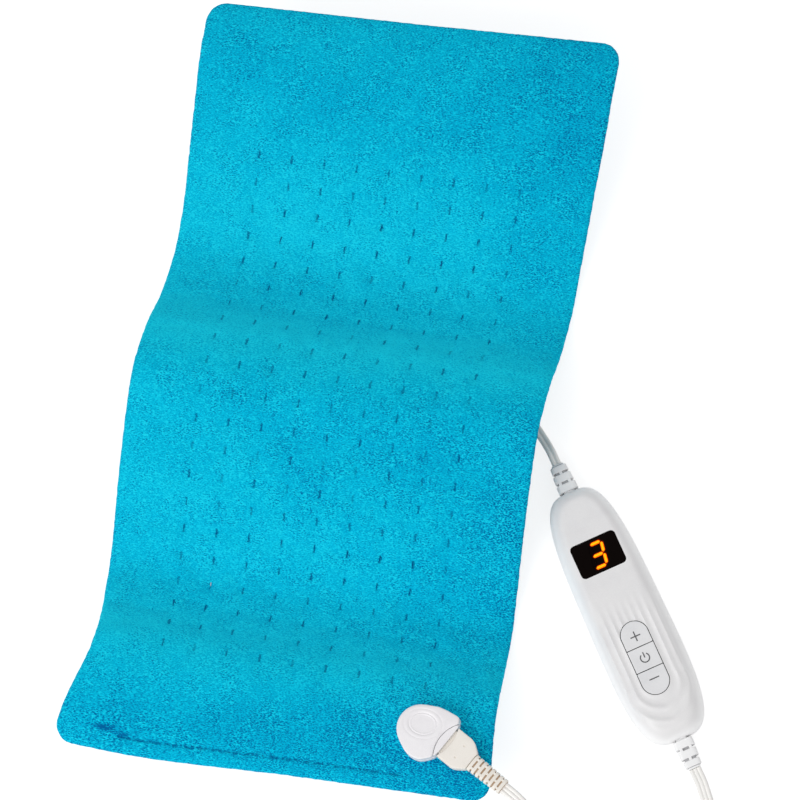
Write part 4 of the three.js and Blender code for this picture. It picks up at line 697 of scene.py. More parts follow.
def rounded_box(half_x: float, half_y: float, corner: float, steps: int = 8) -> list[Pair]:
    """A rectangle's outline with round corners."""
    points = []
    for k, (sx, sy) in enumerate(((1, 1), (-1, 1), (-1, -1), (1, -1))):
        for i in range(steps + 1):
            angle = math.pi / 2 * (k + i / steps)
            x, y = corner * math.cos(angle), corner * math.sin(angle)
            points.append((sx * (half_x - corner) + x, sy * (half_y - corner) + y))
    return points


def stood(outline: list[Pair], x: float, height: float, end: int = 1) -> list[Vector]:
    """An outline stood across the X axis at a place, mirrored where the end is -1."""
    return [Vector((x, end * y, height + z)) for y, z in outline]


def mark_grooves(bm: BMesh, drawn: list[list[BMVert]], picked: Callable[[int], bool]) -> None:
    """Marks the rings that lie in a groove, on their vertices.

    Args:
        bm: The mesh that the rings are in.
        drawn: The rings.
        picked: Tells from a ring's number whether it lies in a groove.
    """
    layer = bm.verts.layers.float["groove"]
    for i, verts in enumerate(drawn):
        for vert in verts:
            vert[layer] = float(picked(i))


def star(origin: Pair, holds: Callable[[float, float], bool], count: int, far: float = 90.0) -> list[Pair]:
    """An outline found by looking out from a point in every direction.

    Args:
        origin: The point inside the shape.
        holds: Tells whether a point is in the shape.
        count: How many directions.
        far: A distance past the whole shape.

    Returns:
        The outline's points.
    """
    points = []
    for i in range(count):
        c, s = math.cos(i / count * math.tau), math.sin(i / count * math.tau)
        near, away = 0.0, far
        for _ in range(26):
            half = (near + away) / 2
            if holds(origin[0] + half * c, origin[1] + half * s):
                near = half
            else:
                away = half
        points.append((origin[0] + near * c, origin[1] + near * s))
    return points


def drawn_in(points: list[Pair], origin: Pair, inset: float, height: float) -> list[Vector]:
    """An outline's points, each moved towards a centre, at a height."""
    ring = []
    for x, y in points:
        away = Vector((x - origin[0], y - origin[1]))
        away *= max(away.length - inset, 0.05) / away.length
        ring.append(Vector((origin[0] + away.x, origin[1] + away.y, height)))
    return ring


# How far the circles of a slab stay inside its last level, and inside each other, in millimetres.
CIRCLE_GAP = 0.15


def slab(
    bm: BMesh, points: list[Pair], origin: Pair, levels: list[Pair], circles: list[Pair] = (),
    stretch: Pair = (1.0, 1.0), turn: float = 0.0,
) -> list[list[BMVert]]:
    """Draws a rounded slab from the bottom up.

    Args:
        bm: The mesh to draw in.
        points: The slab's widest outline.
        origin: The centre that it is drawn in to.
        levels: Pairs of inset and height.
        circles: Pairs of radius and height, drawn round the centre after the levels.
        stretch: The circles' stretch along and across their turned axis.
        turn: The turn of that axis in degrees.

    Returns:
        The rings' vertices.
    """
    rings = [drawn_in(points, origin, inset, height) for inset, height in levels]
    for k, (radius, height) in enumerate(circles):
        ring = []
        for x, y in points:
            away = Vector((x - origin[0], y - origin[1], 0))
            angle = math.atan2(away.y, away.x) - math.radians(turn)
            reach = radius / math.hypot(math.cos(angle) / stretch[0], math.sin(angle) / stretch[1])
            reach = min(reach, away.length - levels[-1][0] - CIRCLE_GAP * (k + 1))
            ring.append(Vector((*origin, height)) + away.normalized() * reach)
        rings.append(ring)
    return draw_rings(bm, rings)


def box(bm: BMesh, low: Triple, high: Triple, soft: float = 0.0) -> None:
    """Adds a block between two corners, with its edges softened."""
    centre = (Vector(low) + Vector(high)) / 2
    size = Matrix.Diagonal((*(Vector(high) - Vector(low)), 1.0))
    verts = bmesh.ops.create_cube(bm, size=1.0, matrix=Matrix.Translation(centre) @ size)["verts"]
    if soft:
        edges = list({edge for vert in verts for edge in vert.link_edges})
        bmesh.ops.bevel(bm, geom=edges, offset=soft, segments=2, affect="EDGES", profile=0.5, material=-1)


def put(name: str, data: bpy.types.ID, place: Matrix | None = None) -> Object:
    """Puts new data in the scene as an object."""
    made = bpy.data.objects.new(name, data)
    if place is not None:
        made.matrix_world = place
    bpy.context.scene.collection.objects.link(made)
    return made


def smooth_faces(mesh: bpy.types.Mesh, sharp: float) -> None:
    """Shades a mesh smooth, up to an angle in degrees."""
    mesh.shade_smooth()
    mesh.set_sharp_from_angle(angle=math.radians(sharp))


def bake(piece: Object) -> bpy.types.Mesh:
    """Applies a piece's modifiers and returns its new mesh."""
    mesh = bpy.data.meshes.new_from_object(piece.evaluated_get(bpy.context.evaluated_depsgraph_get()))
    piece.modifiers.clear()
    old, piece.data = piece.data, mesh
    bpy.data.meshes.remove(old)
    mesh.name = piece.name
    return mesh


class Cut(Enum):
    """What a Boolean does with its shape."""

    AWAY = "DIFFERENCE"
    ON = "UNION"


def carve(piece: Object, cutter: BMesh, place: Frame, cut: Cut = Cut.AWAY) -> None:
    """Cuts a shape from a piece, or joins it on.

    Args:
        piece: The piece, already in metres.
        cutter: The shape, in the frame's millimetres.
        place: The frame that it is drawn in.
        cut: What is done with it.
    """
    bmesh.ops.transform(cutter, matrix=place.metres(), verts=cutter.verts)
    bmesh.ops.recalc_face_normals(cutter, faces=cutter.faces)
    mesh = bpy.data.meshes.new("cutter")
    cutter.to_mesh(mesh)
    cutter.free()
    tool = put("cutter", mesh)
    step = piece.modifiers.new("Cut", "BOOLEAN")
    step.operation = cut.value
    step.solver = "EXACT"
    step.use_self = True
    step.object = tool
    smooth_faces(bake(piece), SHARP)
    bpy.data.objects.remove(tool)
    bpy.data.meshes.remove(mesh)


def loop_edges(bm: BMesh, loop: list[BMVert]) -> list[bmesh.types.BMEdge]:
    """The edges that join a loop's vertices."""
    return [bm.edges.get(pair) for pair in zip(loop, loop[1:] + loop[:1])]


def draw_rings(
    bm: BMesh, rings: list[list[Vector]], cap_start: bool = True, cap_end: bool = True,
) -> list[list[BMVert]]:
    """Draws a skin ring by ring, by extruding one loop along.

    Args:
        bm: The mesh to draw in.
        rings: The rings' points, the same number in each.
        cap_start: Whether the first ring is filled.
        cap_end: Whether the last ring is filled.

    Returns:
        The rings' vertices.
    """
    loop = list(bmesh.ops.create_circle(bm, cap_ends=False, segments=len(rings[0]), radius=1.0)["verts"])
    drawn = [loop]
    for ring in rings[1:]:
        made = bmesh.ops.extrude_edge_only(bm, edges=loop_edges(bm, loop))["geom"]
        fresh = {vert for vert in made if isinstance(vert, BMVert)}
        loop = [next(e.other_vert(v) for e in v.link_edges if e.other_vert(v) in fresh) for v in loop]
        drawn.append(loop)
    for verts, ring in zip(drawn, rings):
        for vert, point in zip(verts, ring):
            vert.co = point
    if cap_start:
        bmesh.ops.edgeloop_fill(bm, edges=loop_edges(bm, drawn[0]))
    if cap_end:
        bmesh.ops.edgeloop_fill(bm, edges=loop_edges(bm, drawn[-1]))
    return drawn


@dataclass(frozen=True)
class Piece:
    """What one piece of the scene is called, rides on and is made of."""

    name: str
    finish: Finish
    slot: str
    body: str = ROOT
    replaces: tuple[str, ...] = ()
    sharp: float = SHARP

    def make(self, bm: BMesh, place: Frame | None = None, recalculate: bool = True) -> Object:
        """Turns a mesh into the finished piece.

        Args:
            bm: The mesh, in the frame's millimetres, or in metres where there is no frame.
            place: The frame that it is drawn in.
            recalculate: Whether its faces are turned outwards.

        Returns:
            The piece's object.
        """
        if place is not None:
            bmesh.ops.transform(bm, matrix=place.metres(), verts=bm.verts)
        if recalculate:
            bmesh.ops.recalc_face_normals(bm, faces=bm.faces)
        mesh = bpy.data.meshes.new(self.name)
        bm.to_mesh(mesh)
        bm.free()
        smooth_faces(mesh, self.sharp)
        mesh.materials.append(self.finish.material())
        piece = put(self.name, mesh)
        if self.replaces:
            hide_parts(*self.replaces)
        log.info("made %s: %d faces", self.name, len(mesh.polygons))
        return piece


def dress(finish: Finish, *nodes: str) -> None:
    """Gives carried-over CAD nodes a finish."""
    for node in nodes:
        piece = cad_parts[node]
        piece.data.materials.clear()
        piece.data.materials.append(finish.material())
        log.info("dressed %s as %s", node, finish.name)


# Finishes of this object

DIGIT = Digit()
PLUSH = Plush("turquoise_plush")
THREAD = Thread("tack_thread")
SHEATH = Sheath("lead_vinyl")
# The casing's white carries the painted highlight on its slanting sides.
WHITE = Plastic("casing_white", srgb(233, 232, 232), srgb(227, 226, 227), 0.42, rim=0.8)
SOCKET_WHITE = Plastic("socket_white", srgb(240, 238, 240), srgb(234, 231, 234), 0.36, gloss=0.15)
# These finishes paint shade into their grooves: the gaps round the keys, the waists between the relief blocks and the
# grooves between the boot's ribs.
KEY_WHITE = GrooveShaded("key_white", srgb(230, 230, 231), srgb(222, 222, 224), 0.5, groove=srgb(34, 34, 38))
RIBBED_WHITE = GrooveShaded("relief_white", srgb(246, 246, 246), srgb(240, 240, 241), 0.42, groove=srgb(176, 176, 178))
RIBBED_CREAM = GrooveShaded("boot_cream", srgb(240, 235, 226), srgb(232, 226, 215), 0.5)
CREAM = Plastic("plug_cream", srgb(240, 235, 227), srgb(233, 227, 217), 0.5)
BLACK = Plastic("black_moulding", srgb(34, 34, 36), srgb(44, 43, 44), 0.5)
SLEEVE = Plastic("red_sleeve", srgb(176, 60, 48), srgb(158, 50, 42), 0.55)
CORE = Plastic("core_jacket", srgb(150, 84, 44), srgb(132, 72, 38), 0.5)
CASE = Plastic("film_capacitor", srgb(214, 150, 40), srgb(196, 132, 34), 0.45, gloss=0.3)
BAND = Plastic("tie_band", srgb(40, 40, 42), srgb(54, 53, 54), 0.55)
FELT = Felt("pressed_felt")
BRASS = Metal("bright_brass", srgb(214, 178, 104), srgb(176, 138, 74), Grain.DRAWN, 0.26)
STEEL = Metal("zinc_steel", srgb(206, 206, 210), srgb(164, 164, 170), Grain.TURNED, 0.3)
BOARD = Laminate("board_green")
WINDOW = Glass("window_black")
AMBER = Glow("digit_amber")
INK = Ink("symbol_ink")


# Pad


@dataclass(frozen=True)
class PadShape:
    """The pad's form: its middle line from the top end down, its crown and its outline.

    The knots give the middle line's run, height and sway as shares of the length, the wave and
    the width. The flares give how far the left and the right side lie outwards along the pad.
    """

    length: float = 610.0
    width: float = 305.0
    thickness: float = 10.0
    corner: float = 15.0
    seam: float = 3.0
    crown: float = 22.0
    roll: float = 2.6
    wave: float = 60.0
    sunk: float = 0.5
    knots: tuple[Triple, ...] = (
        (0.6918, 1.01, 0.014), (0.6273, 0.95, 0.011), (0.5668, 0.695, 0.0075), (0.5073, 0.41, 0.0035),
        (0.4478, 0.127, 0.0), (0.3923, -0.008, -0.0035), (0.3308, 0.2, -0.0065), (0.2788, 0.605, -0.009),
        (0.2183, 0.82, -0.011), (0.1558, 0.64, -0.0115), (0.0948, 0.39, -0.0105), (0.0428, 0.147, -0.0085),
        (-0.0082, -0.004, -0.0053), (-0.0577, 0.18, -0.0005), (-0.1047, 0.525, 0.006), (-0.1322, 0.605, 0.01),
        (-0.1612, 0.625, 0.0145), (-0.1902, 0.61, 0.02), (-0.2342, 0.535, 0.0285),
    )
    top_skew: Pair = (5.0, 6.5)
    low_skew: Pair = (8.5, 4.5)
    skewed: Pair = (90.0, 60.0)
    corner_curl: float = 6.0
    curl_from: float = 0.55
    flares: tuple[Triple, ...] = (
        (0.0, 4.0, 3.0), (60.0, 3.0, 3.0), (110.0, 1.5, 1.5), (160.0, 0.0, 0.0), (460.0, 0.0, 0.0),
        (480.0, -1.0, 0.0), (500.0, -2.8, 0.0), (520.0, -3.9, 0.0), (532.0, -3.4, 0.0), (544.0, -1.6, 0.0),
        (556.0, 2.2, 0.0), (568.0, 6.8, 0.0), (582.0, 12.0, 0.0), (598.0, 16.6, 0.0), (610.0, 18.5, 0.0))

    def drawn_out(self, along: float, across: float) -> Vector:
        """How far the soft ends are skewed and the sides drawn out at a place, in the object's frame."""
        side = across / (self.width / 2)
        weight, skew, curl = smooth(along, self.skewed[0], 0.0), self.top_skew, 0.0
        if along > self.length / 2:
            weight, skew = smooth(along, self.length - self.skewed[1], self.length), self.low_skew
            curl = self.corner_curl * clamp((-side - self.curl_from) / (1.0 - self.curl_from)) ** 1.5
        after = next(i for i, row in enumerate(self.flares) if along <= row[0] or row is self.flares[-1])
        first, last = self.flares[max(after - 1, 0)], self.flares[after]
        share = clamp((along - first[0]) / (last[0] - first[0])) if last[0] > first[0] else 0.0
        index = 1 if side < 0 else 2
        flare = mix(first[index], last[index], share) * smooth(abs(side), 0.3, 1.0)
        drawn = weight * (side * skew[0 if side < 0 else 1] + curl)
        return Vector((flare if side > 0 else -flare, drawn, 0.0))

    def line(self) -> Line:
        """The pad's middle line."""
        return Line([
            Vector((sway * self.width, run * self.length, height * self.wave + self.thickness / 2 - self.sunk))
            for run, height, sway in self.knots
        ])

    def half_width(self, along: float) -> float:
        """Half the pad's width at a place along it."""
        past = max(self.corner - min(along, self.length - along), 0.0)
        return self.width / 2 - self.corner + math.sqrt(max(self.corner**2 - past**2, 0.0))

    def inside(self, along: float, across: float) -> float:
        """How far a place lies inside the pad's outline."""
        side = abs(across) - (self.width / 2 - self.corner)
        end = abs(along - self.length / 2) - (self.length / 2 - self.corner)
        return self.corner - math.hypot(max(side, 0.0), max(end, 0.0)) - min(max(side, end), 0.0)

    def lift(self, along: float, across: float) -> float:
        """The cover's height over the middle line, round at the rim."""
        depth = self.inside(along, across)
        share = clamp(depth / self.crown)
        crown = self.seam / 2 + (self.thickness - self.seam) / 2 * math.sqrt(share * (2 - share))
        rim = clamp(depth / self.roll)
        return crown * math.sqrt(rim * (2 - rim))


class PadSurface:
    """Places on the pad: along from its top end, across from its middle, lift off its middle line."""

    def __init__(self, shape: PadShape) -> None:
        """Measures the pad's middle line."""
        self.shape = shape
        self.line = shape.line()

    @lru_cache(maxsize=4096)
    def station(self, along: float) -> tuple[Vector, Vector]:
        """The middle line's point and its upward direction."""
        share = along / self.shape.length
        way = self.line.way(share)
        return self.line.at(share), Vector((0.0, way.z, -way.y)).normalized()

    def at(self, along: float, across: float, lift: float) -> Vector:
        """A place on the pad, in millimetres."""
        point, up = self.station(along)
        return point + up * lift + Vector((across, 0.0, 0.0)) + self.shape.drawn_out(along, across)


# What the pad's vertices carry: their places in millimetres, and 1 on the front or -1 on the back.
LAYERS = ("across", "along", "side")


def numbers(mesh: bpy.types.Mesh, name: str) -> list[float]:
    """What a mesh's vertices carry under a name."""
    return [item.value for item in mesh.attributes[name].data]


@dataclass
class PadQuilt:
    """The plush pad: two covers sewn round the rim, blown up between the tacks and stitched down."""

    shape: PadShape = field(default_factory=PadShape)
    columns: int = 9
    rows: int = 21
    side_margin: float = 54.0
    top_margin: float = 113.5
    pitch: float = 20.8
    rim_steps: tuple[float, ...] = (0.0, 0.9, 2.4, 5.2, 9.2, 14.0)
    plain_cell: float = 5.0
    tack_length: float = 6.4
    tack_depth: float = 1.4
    pressure: float = 1.6
    slack: float = -0.012
    cap: float = 1.5
    frames: int = 20
    tack_held: float = 0.2
    rim_held: float = 1.0
    margin_held: float = 40.0
    margin_weight: float = 0.25
    seam_depth: float = 1.1
    fill: float = 0.45
    lowest: float = 0.35
    tack_lowest: float = 1.5
    seed: int = 7
    thread: float = 0.3

    def __post_init__(self) -> None:
        """Takes the tacks' places and the grid's lines from the sizes."""
        self.surface = PadSurface(self.shape)
        half = self.shape.width / 2
        self.tack_x = spread(self.side_margin - half, half - self.side_margin, self.columns - 1)
        self.tack_s = [self.top_margin + i * self.pitch for i in range(self.rows)]
        self.lines_x = self.lines(self.shape.width, self.tack_x[0] + half, self.tack_x[-1] + half, 5)
        self.lines_s = self.lines(self.shape.length, self.tack_s[0], self.tack_s[-1], 4)

    def lines(self, length: float, first: float, last: float, cells: int) -> list[float]:
        """Grid lines across or along the pad, close at the rim and on each tack.

        Args:
            length: The pad's size in that direction.
            first: The first tack's place.
            last: The last tack's place.
            cells: Cells from one tack to the next.

        Returns:
            The lines' places from the edge.
        """
        count = (self.columns if length == self.shape.width else self.rows) - 1
        rim = list(self.rim_steps)
        lead = spread(rim[-1], first, round((first - rim[-1]) / self.plain_cell))[1:-1]
        trail = spread(last, length - rim[-1], round((length - rim[-1] - last) / self.plain_cell))[1:-1]
        return [*rim, *lead, *spread(first, last, count * cells), *trail, *(length - edge for edge in reversed(rim))]

    def cover(self, bm: BMesh, side: int) -> None:
        """Draws one cover: side 1 is the front and -1 the back."""
        count_x, count_s = len(self.lines_x) - 1, len(self.lines_s) - 1
        layers = [bm.verts.layers.float[name] for name in LAYERS]
        verts = bmesh.ops.create_grid(bm, x_segments=count_x, y_segments=count_s, size=1.0)["verts"]
        half = self.shape.width / 2
        for vert in verts:
            column = self.lines_x[round((vert.co.x + 1) / 2 * count_x)] - half
            along = self.lines_s[round((vert.co.y + 1) / 2 * count_s)]
            across = column * self.shape.half_width(along) / half
            vert.co = self.surface.at(along, across, side * self.shape.lift(along, across)) * MM
            for layer, value in zip(layers, (across, along, float(side))):
                vert[layer] = value
        faces = list({face for vert in verts for face in vert.link_faces})
        outward = sum((face.normal_update() or face.normal.z) for face in faces)
        if outward * side < 0:
            bmesh.ops.reverse_faces(bm, faces=faces)

    def blow_up(self, pad: Object) -> None:
        """Lets the covers fill under pressure as cloth, held at the tacks and the rim.

        Args:
            pad: The pad's object, whose mesh takes the new places.
        """
        mesh = pad.data
        held = pad.vertex_groups.new(name="held")
        for i, (across, along) in enumerate(zip(numbers(mesh, "across"), numbers(mesh, "along"))):
            off_x = min(abs(across - x) for x in self.tack_x)
            off_s = min(abs(along - s) for s in self.tack_s)
            if max(off_x, off_s) < self.tack_held or self.shape.inside(along, across) < self.rim_held:
                held.add([i], 1.0, "REPLACE")
            elif self.shape.inside(along, across) < self.margin_held:
                held.add([i], self.margin_weight, "REPLACE")
        rest = [vert.co.copy() for vert in mesh.vertices]
        cloth = pad.modifiers.new("Cloth", "CLOTH")
        cloth.settings.quality = 6
        cloth.settings.vertex_group_mass = "held"
        cloth.settings.use_pressure = True
        cloth.settings.uniform_pressure_force = self.pressure
        cloth.settings.shrink_min = self.slack
        cloth.settings.bending_stiffness = 0.3
        cloth.settings.effector_weights.gravity = 0.0
        cloth.collision_settings.use_collision = False
        cloth.point_cache.frame_start = 1
        cloth.point_cache.frame_end = self.frames
        for step in range(1, self.frames + 1):
            bpy.context.scene.frame_set(step)
        blown = pad.evaluated_get(bpy.context.evaluated_depsgraph_get()).to_mesh()
        moves = [blown.vertices[i].co - rest[i] for i in range(len(rest))]
        pad.evaluated_get(bpy.context.evaluated_depsgraph_get()).to_mesh_clear()
        pad.modifiers.remove(cloth)
        pad.vertex_groups.clear()
        bpy.context.scene.frame_set(1)
        cap = self.cap * MM
        log.info("cloth moved up to %.2f mm", max(move.length for move in moves) / MM)
        for vert, start, move in zip(mesh.vertices, rest, moves):
            size = move.length
            vert.co = start + (move * (math.tanh(size / cap) * cap / size) if size > 1e-9 else move)

    def strength(self, across: float, along: float, side: float) -> float:
        """How hard the tack at a place is pulled."""
        return 0.65 + 0.5 * noise.noise(Vector((across * 0.37, along * 0.41, side)))

    def pull_down(self, across: float, along: float, side: float) -> float:
        """How deep the tacks and the closing seam pull the cover in at a place, in millimetres."""
        near_x = min(self.tack_x, key=lambda x: abs(across - x))
        near_s = min(self.tack_s, key=lambda s: abs(along - s))
        apart = math.hypot(across - near_x, max(abs(along - near_s) - self.tack_length / 3, 0.0))
        depth = self.tack_depth * self.strength(near_x, near_s, side) * math.exp(-((apart / 3.1) ** 2))
        petals = math.cos(4 * math.atan2(along - near_s, across - near_x))
        pucker = 0.16 * petals * math.exp(-(((apart - 6) / 3.5) ** 2))
        seam = 0.0
        if side > 0 and PLUSH.seam_start < across < PLUSH.seam_end:
            off = along - PLUSH.seam_at + 0.8 * noise.noise(Vector((across * 0.05, 0, 7)))
            seam = self.seam_depth * math.exp(-((off / 1.7) ** 2))
        return depth + pucker + seam

    def build(self) -> None:
        """Builds the pad and its tacks."""
        bm = bmesh.new()
        for name in LAYERS:
            bm.verts.layers.float.new(name)
        for side in (1, -1):
            self.cover(bm, side)
        bmesh.ops.remove_doubles(bm, verts=bm.verts, dist=0.02 * MM)
        covers = Piece("plush_pad", PLUSH, "plush", replaces=("front_cover", "back_cover"))
        pad = covers.make(bm, recalculate=False)
        self.blow_up(pad)
        self.refine(pad)
        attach(pad, ROOT)
        self.tacks()

    def refine(self, pad: Object) -> None:
        """Subdivides the pad once, then works in the tacks, the seam and the pile's unevenness."""
        finer = pad.modifiers.new("Finer", "SUBSURF")
        finer.levels = 1
        finer.render_levels = 1
        mesh = bake(pad)
        across, along, side = (numbers(mesh, name) for name in LAYERS)
        normals = [Vector(normal.vector) for normal in mesh.vertex_normals]
        for i, vert in enumerate(mesh.vertices):
            inside = self.shape.inside(along[i], across[i])
            loose = 1.0 + 0.4 * smooth(inside, 7.0, 0.0)
            fuzz = loose * (0.22 * noise.noise(vert.co * 260) + 0.16 * noise.noise(vert.co * 700))
            sink = self.pull_down(across[i], along[i], side[i]) * smooth(inside, 3.0, 10.0)
            vert.co += normals[i] * (fuzz - sink) * MM
            vert.co.z = max(vert.co.z, self.lowest * MM)
        mesh.shade_smooth()
        mesh.update()
        log.info("the pad has %d faces", len(mesh.polygons))

    def tack(self, bm: BMesh, across: float, along: float, side: int) -> None:
        """Sews one tack: a short bar of thread sunk in the pile, often with a second one beside it."""
        strength = self.strength(across, along, float(side))
        shift = 1.1 * noise.noise_vector(Vector((across * 0.53, along * 0.29, 7.0 + side)))
        lift = self.shape.lift(along, across) - self.tack_depth * strength - 0.3 * (1 + shift.z)
        point = self.surface.at(along + shift.x, across + shift.y, side * lift)
        if point.z < self.tack_lowest:
            return
        way = self.surface.line.way(along / self.shape.length)
        place = Matrix.Scale(MM, 4) @ Matrix.Translation(point) @ way.to_track_quat("X", "Z").to_matrix().to_4x4()
        reach = self.tack_length / 2 * (0.5 + 0.5 * strength)
        loops = [(0.0, 0.0, 1.0, 0.5 * shift.z)]
        if shift.x > -0.05:
            loops.append((2.2 * shift.y, 1.3, 0.5, -0.9 * shift.z))
        for far, beside, share, angle in loops:
            tilt = Matrix.Translation((far, beside, 0.0)) @ Matrix.Rotation(angle, 4, "Z")
            size = Matrix.Diagonal((reach * share, self.thread, self.thread, 1.0))
            bmesh.ops.create_uvsphere(bm, u_segments=6, v_segments=5, radius=1.0, matrix=place @ tilt @ size)

    def tacks(self) -> None:
        """Sews the tacks on both covers, the same way in each run."""
        noise.seed_set(self.seed)
        bm = bmesh.new()
        for side in (1, -1):
            for along in self.tack_s:
                for across in self.tack_x:
                    self.tack(bm, across, along, side)
        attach(Piece("tack_stitches", THREAD, "plush", sharp=60.0).make(bm), ROOT)


# Leads


@dataclass(frozen=True)
class LeadSection:
    """A flat lead's section: round cores side by side with a groove between each two."""

    width: float
    thickness: float
    cores: int
    groove: float = 0.5
    steps: int = 6

    def outline(self) -> list[Pair]:
        """The section's points, across and up."""
        radius = self.thickness / 2
        first = radius - self.width / 2
        pitch = (self.width - self.thickness) / (self.cores - 1)
        centres = [first + i * pitch for i in range(self.cores)]
        places = set()
        for i, centre in enumerate(centres):
            for k in range(self.steps + 1):
                across = centre - radius * math.cos(math.pi * k / self.steps)
                left = -1e9 if i == 0 else centre - pitch / 2
                right = 1e9 if i == self.cores - 1 else centre + pitch / 2
                if left - 0.01 <= across <= right + 0.01:
                    places.add(round(across, 3))
            if i + 1 < self.cores:
                places.add(round(centre + pitch / 2, 3))
        across = sorted(places)

        def height(place: float) -> float:
            """The section's half height at a place across."""
            round_part = max(math.sqrt(max(radius**2 - (place - centre) ** 2, 0.0)) for centre in centres)
            web = radius * self.groove if centres[0] < place < centres[-1] else 0.0
            return max(round_part, web)

        top = [(place, height(place)) for place in reversed(across)]
        bottom = [(place, -height(place)) for place in across[1:-1]]
        return top + bottom


@dataclass
class Lead:
    """A lead that is drawn along stations, each with its roll from lying flat to standing on edge."""

    section: LeadSection
    stations: list[Vector]
    rolls: list[float]

    def length(self) -> float:
        """The lead's length in metres."""
        return sum((b - a).length for a, b in zip(self.stations, self.stations[1:])) * MM

    def path(self) -> list[Vector]:
        """The line that the lead follows, in metres."""
        return [point * MM for point in self.stations]

    def draw(self) -> BMesh:
        """Draws the lead's skin in metres, with its places across and along on the vertices."""
        outline = self.section.outline()
        rings, walked, marks = [], 0.0, []
        last = len(self.stations) - 1
        for i, point in enumerate(self.stations):
            before, after = self.stations[max(i - 1, 0)], self.stations[min(i + 1, last)]
            way = (after - before).normalized()
            side = Vector((0.0, 0.0, 1.0)).cross(way).normalized()
            side.rotate(Matrix.Rotation(self.rolls[i], 3, way))
            up = way.cross(side)
            rings.append([(point + side * a + up * b) * MM for a, b in outline])
            walked += (point - self.stations[max(i - 1, 0)]).length
            marks.append(walked)
        bm = bmesh.new()
        across_layer, along_layer = (bm.verts.layers.float.new(name) for name in LAYERS[:2])
        for loop, mark in zip(draw_rings(bm, rings), marks):
            for vert, (across, _) in zip(loop, outline):
                vert[across_layer] = across
                vert[along_layer] = mark
        return bm


@dataclass
class PadLead:
    """The three-core lead from the plug, down to the surface, round in a loop and to the controller."""

    section: LeadSection = field(default_factory=lambda: LeadSection(9.0, 3.4, 3, 0.58))
    boot_end: float = 73.4
    relief_end: float = 126.1
    plug_height: float = 6.65
    relief_height: float = 9.0
    tuck: float = 2.5
    still_from: float = 142.0
    moves_from: float = 76.0
    route: tuple[Triple, ...] = (
        (192, -141, 49), (206, -154, 42), (217, -169, 32), (225, -187, 21), (231, -206, 12), (236, -226, 5.5),
        (243, -246, 2.6), (254, -263, 1.9), (270, -275, 1.9), (290, -279, 1.9), (309, -273, 1.9), (324, -259, 1.9),
        (333, -240, 1.9), (337, -218, 1.9), (338, -195, 1.9), (336, -173, 1.9), (331, -152, 2.3), (324, -132, 4),
    )

    def build(self) -> None:
        """Builds the pad lead."""
        start = [SOCKET.at(self.boot_end + out, 0, self.plug_height) for out in (-self.tuck, 0.0, 4.5, 9.0)]
        end = [CONTROLLER.at(self.relief_end + out, 0, self.relief_height) for out in (9.0, 4.5, 0.0, -self.tuck)]
        line = Line([*start, *(Vector(point) for point in self.route), *end])
        stations = line.stations(STATION)
        lead = Lead(self.section, stations, [0.0] * len(stations))
        piece = Piece("pad_lead_cord", SHEATH, "lead_sheath", replaces=("pad_lead",)).make(lead.draw())
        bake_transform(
            piece, ROOT, PLUG,
            start=SOCKET.at(self.still_from, 0, self.plug_height) * MM,
            end=SOCKET.at(self.moves_from, 0, self.plug_height) * MM)
        SOCKET.at(self.boot_end, 0, self.plug_height) * MM
        lead.length()
        lead.path()
        log.info("pad lead %.3f m", lead.length())


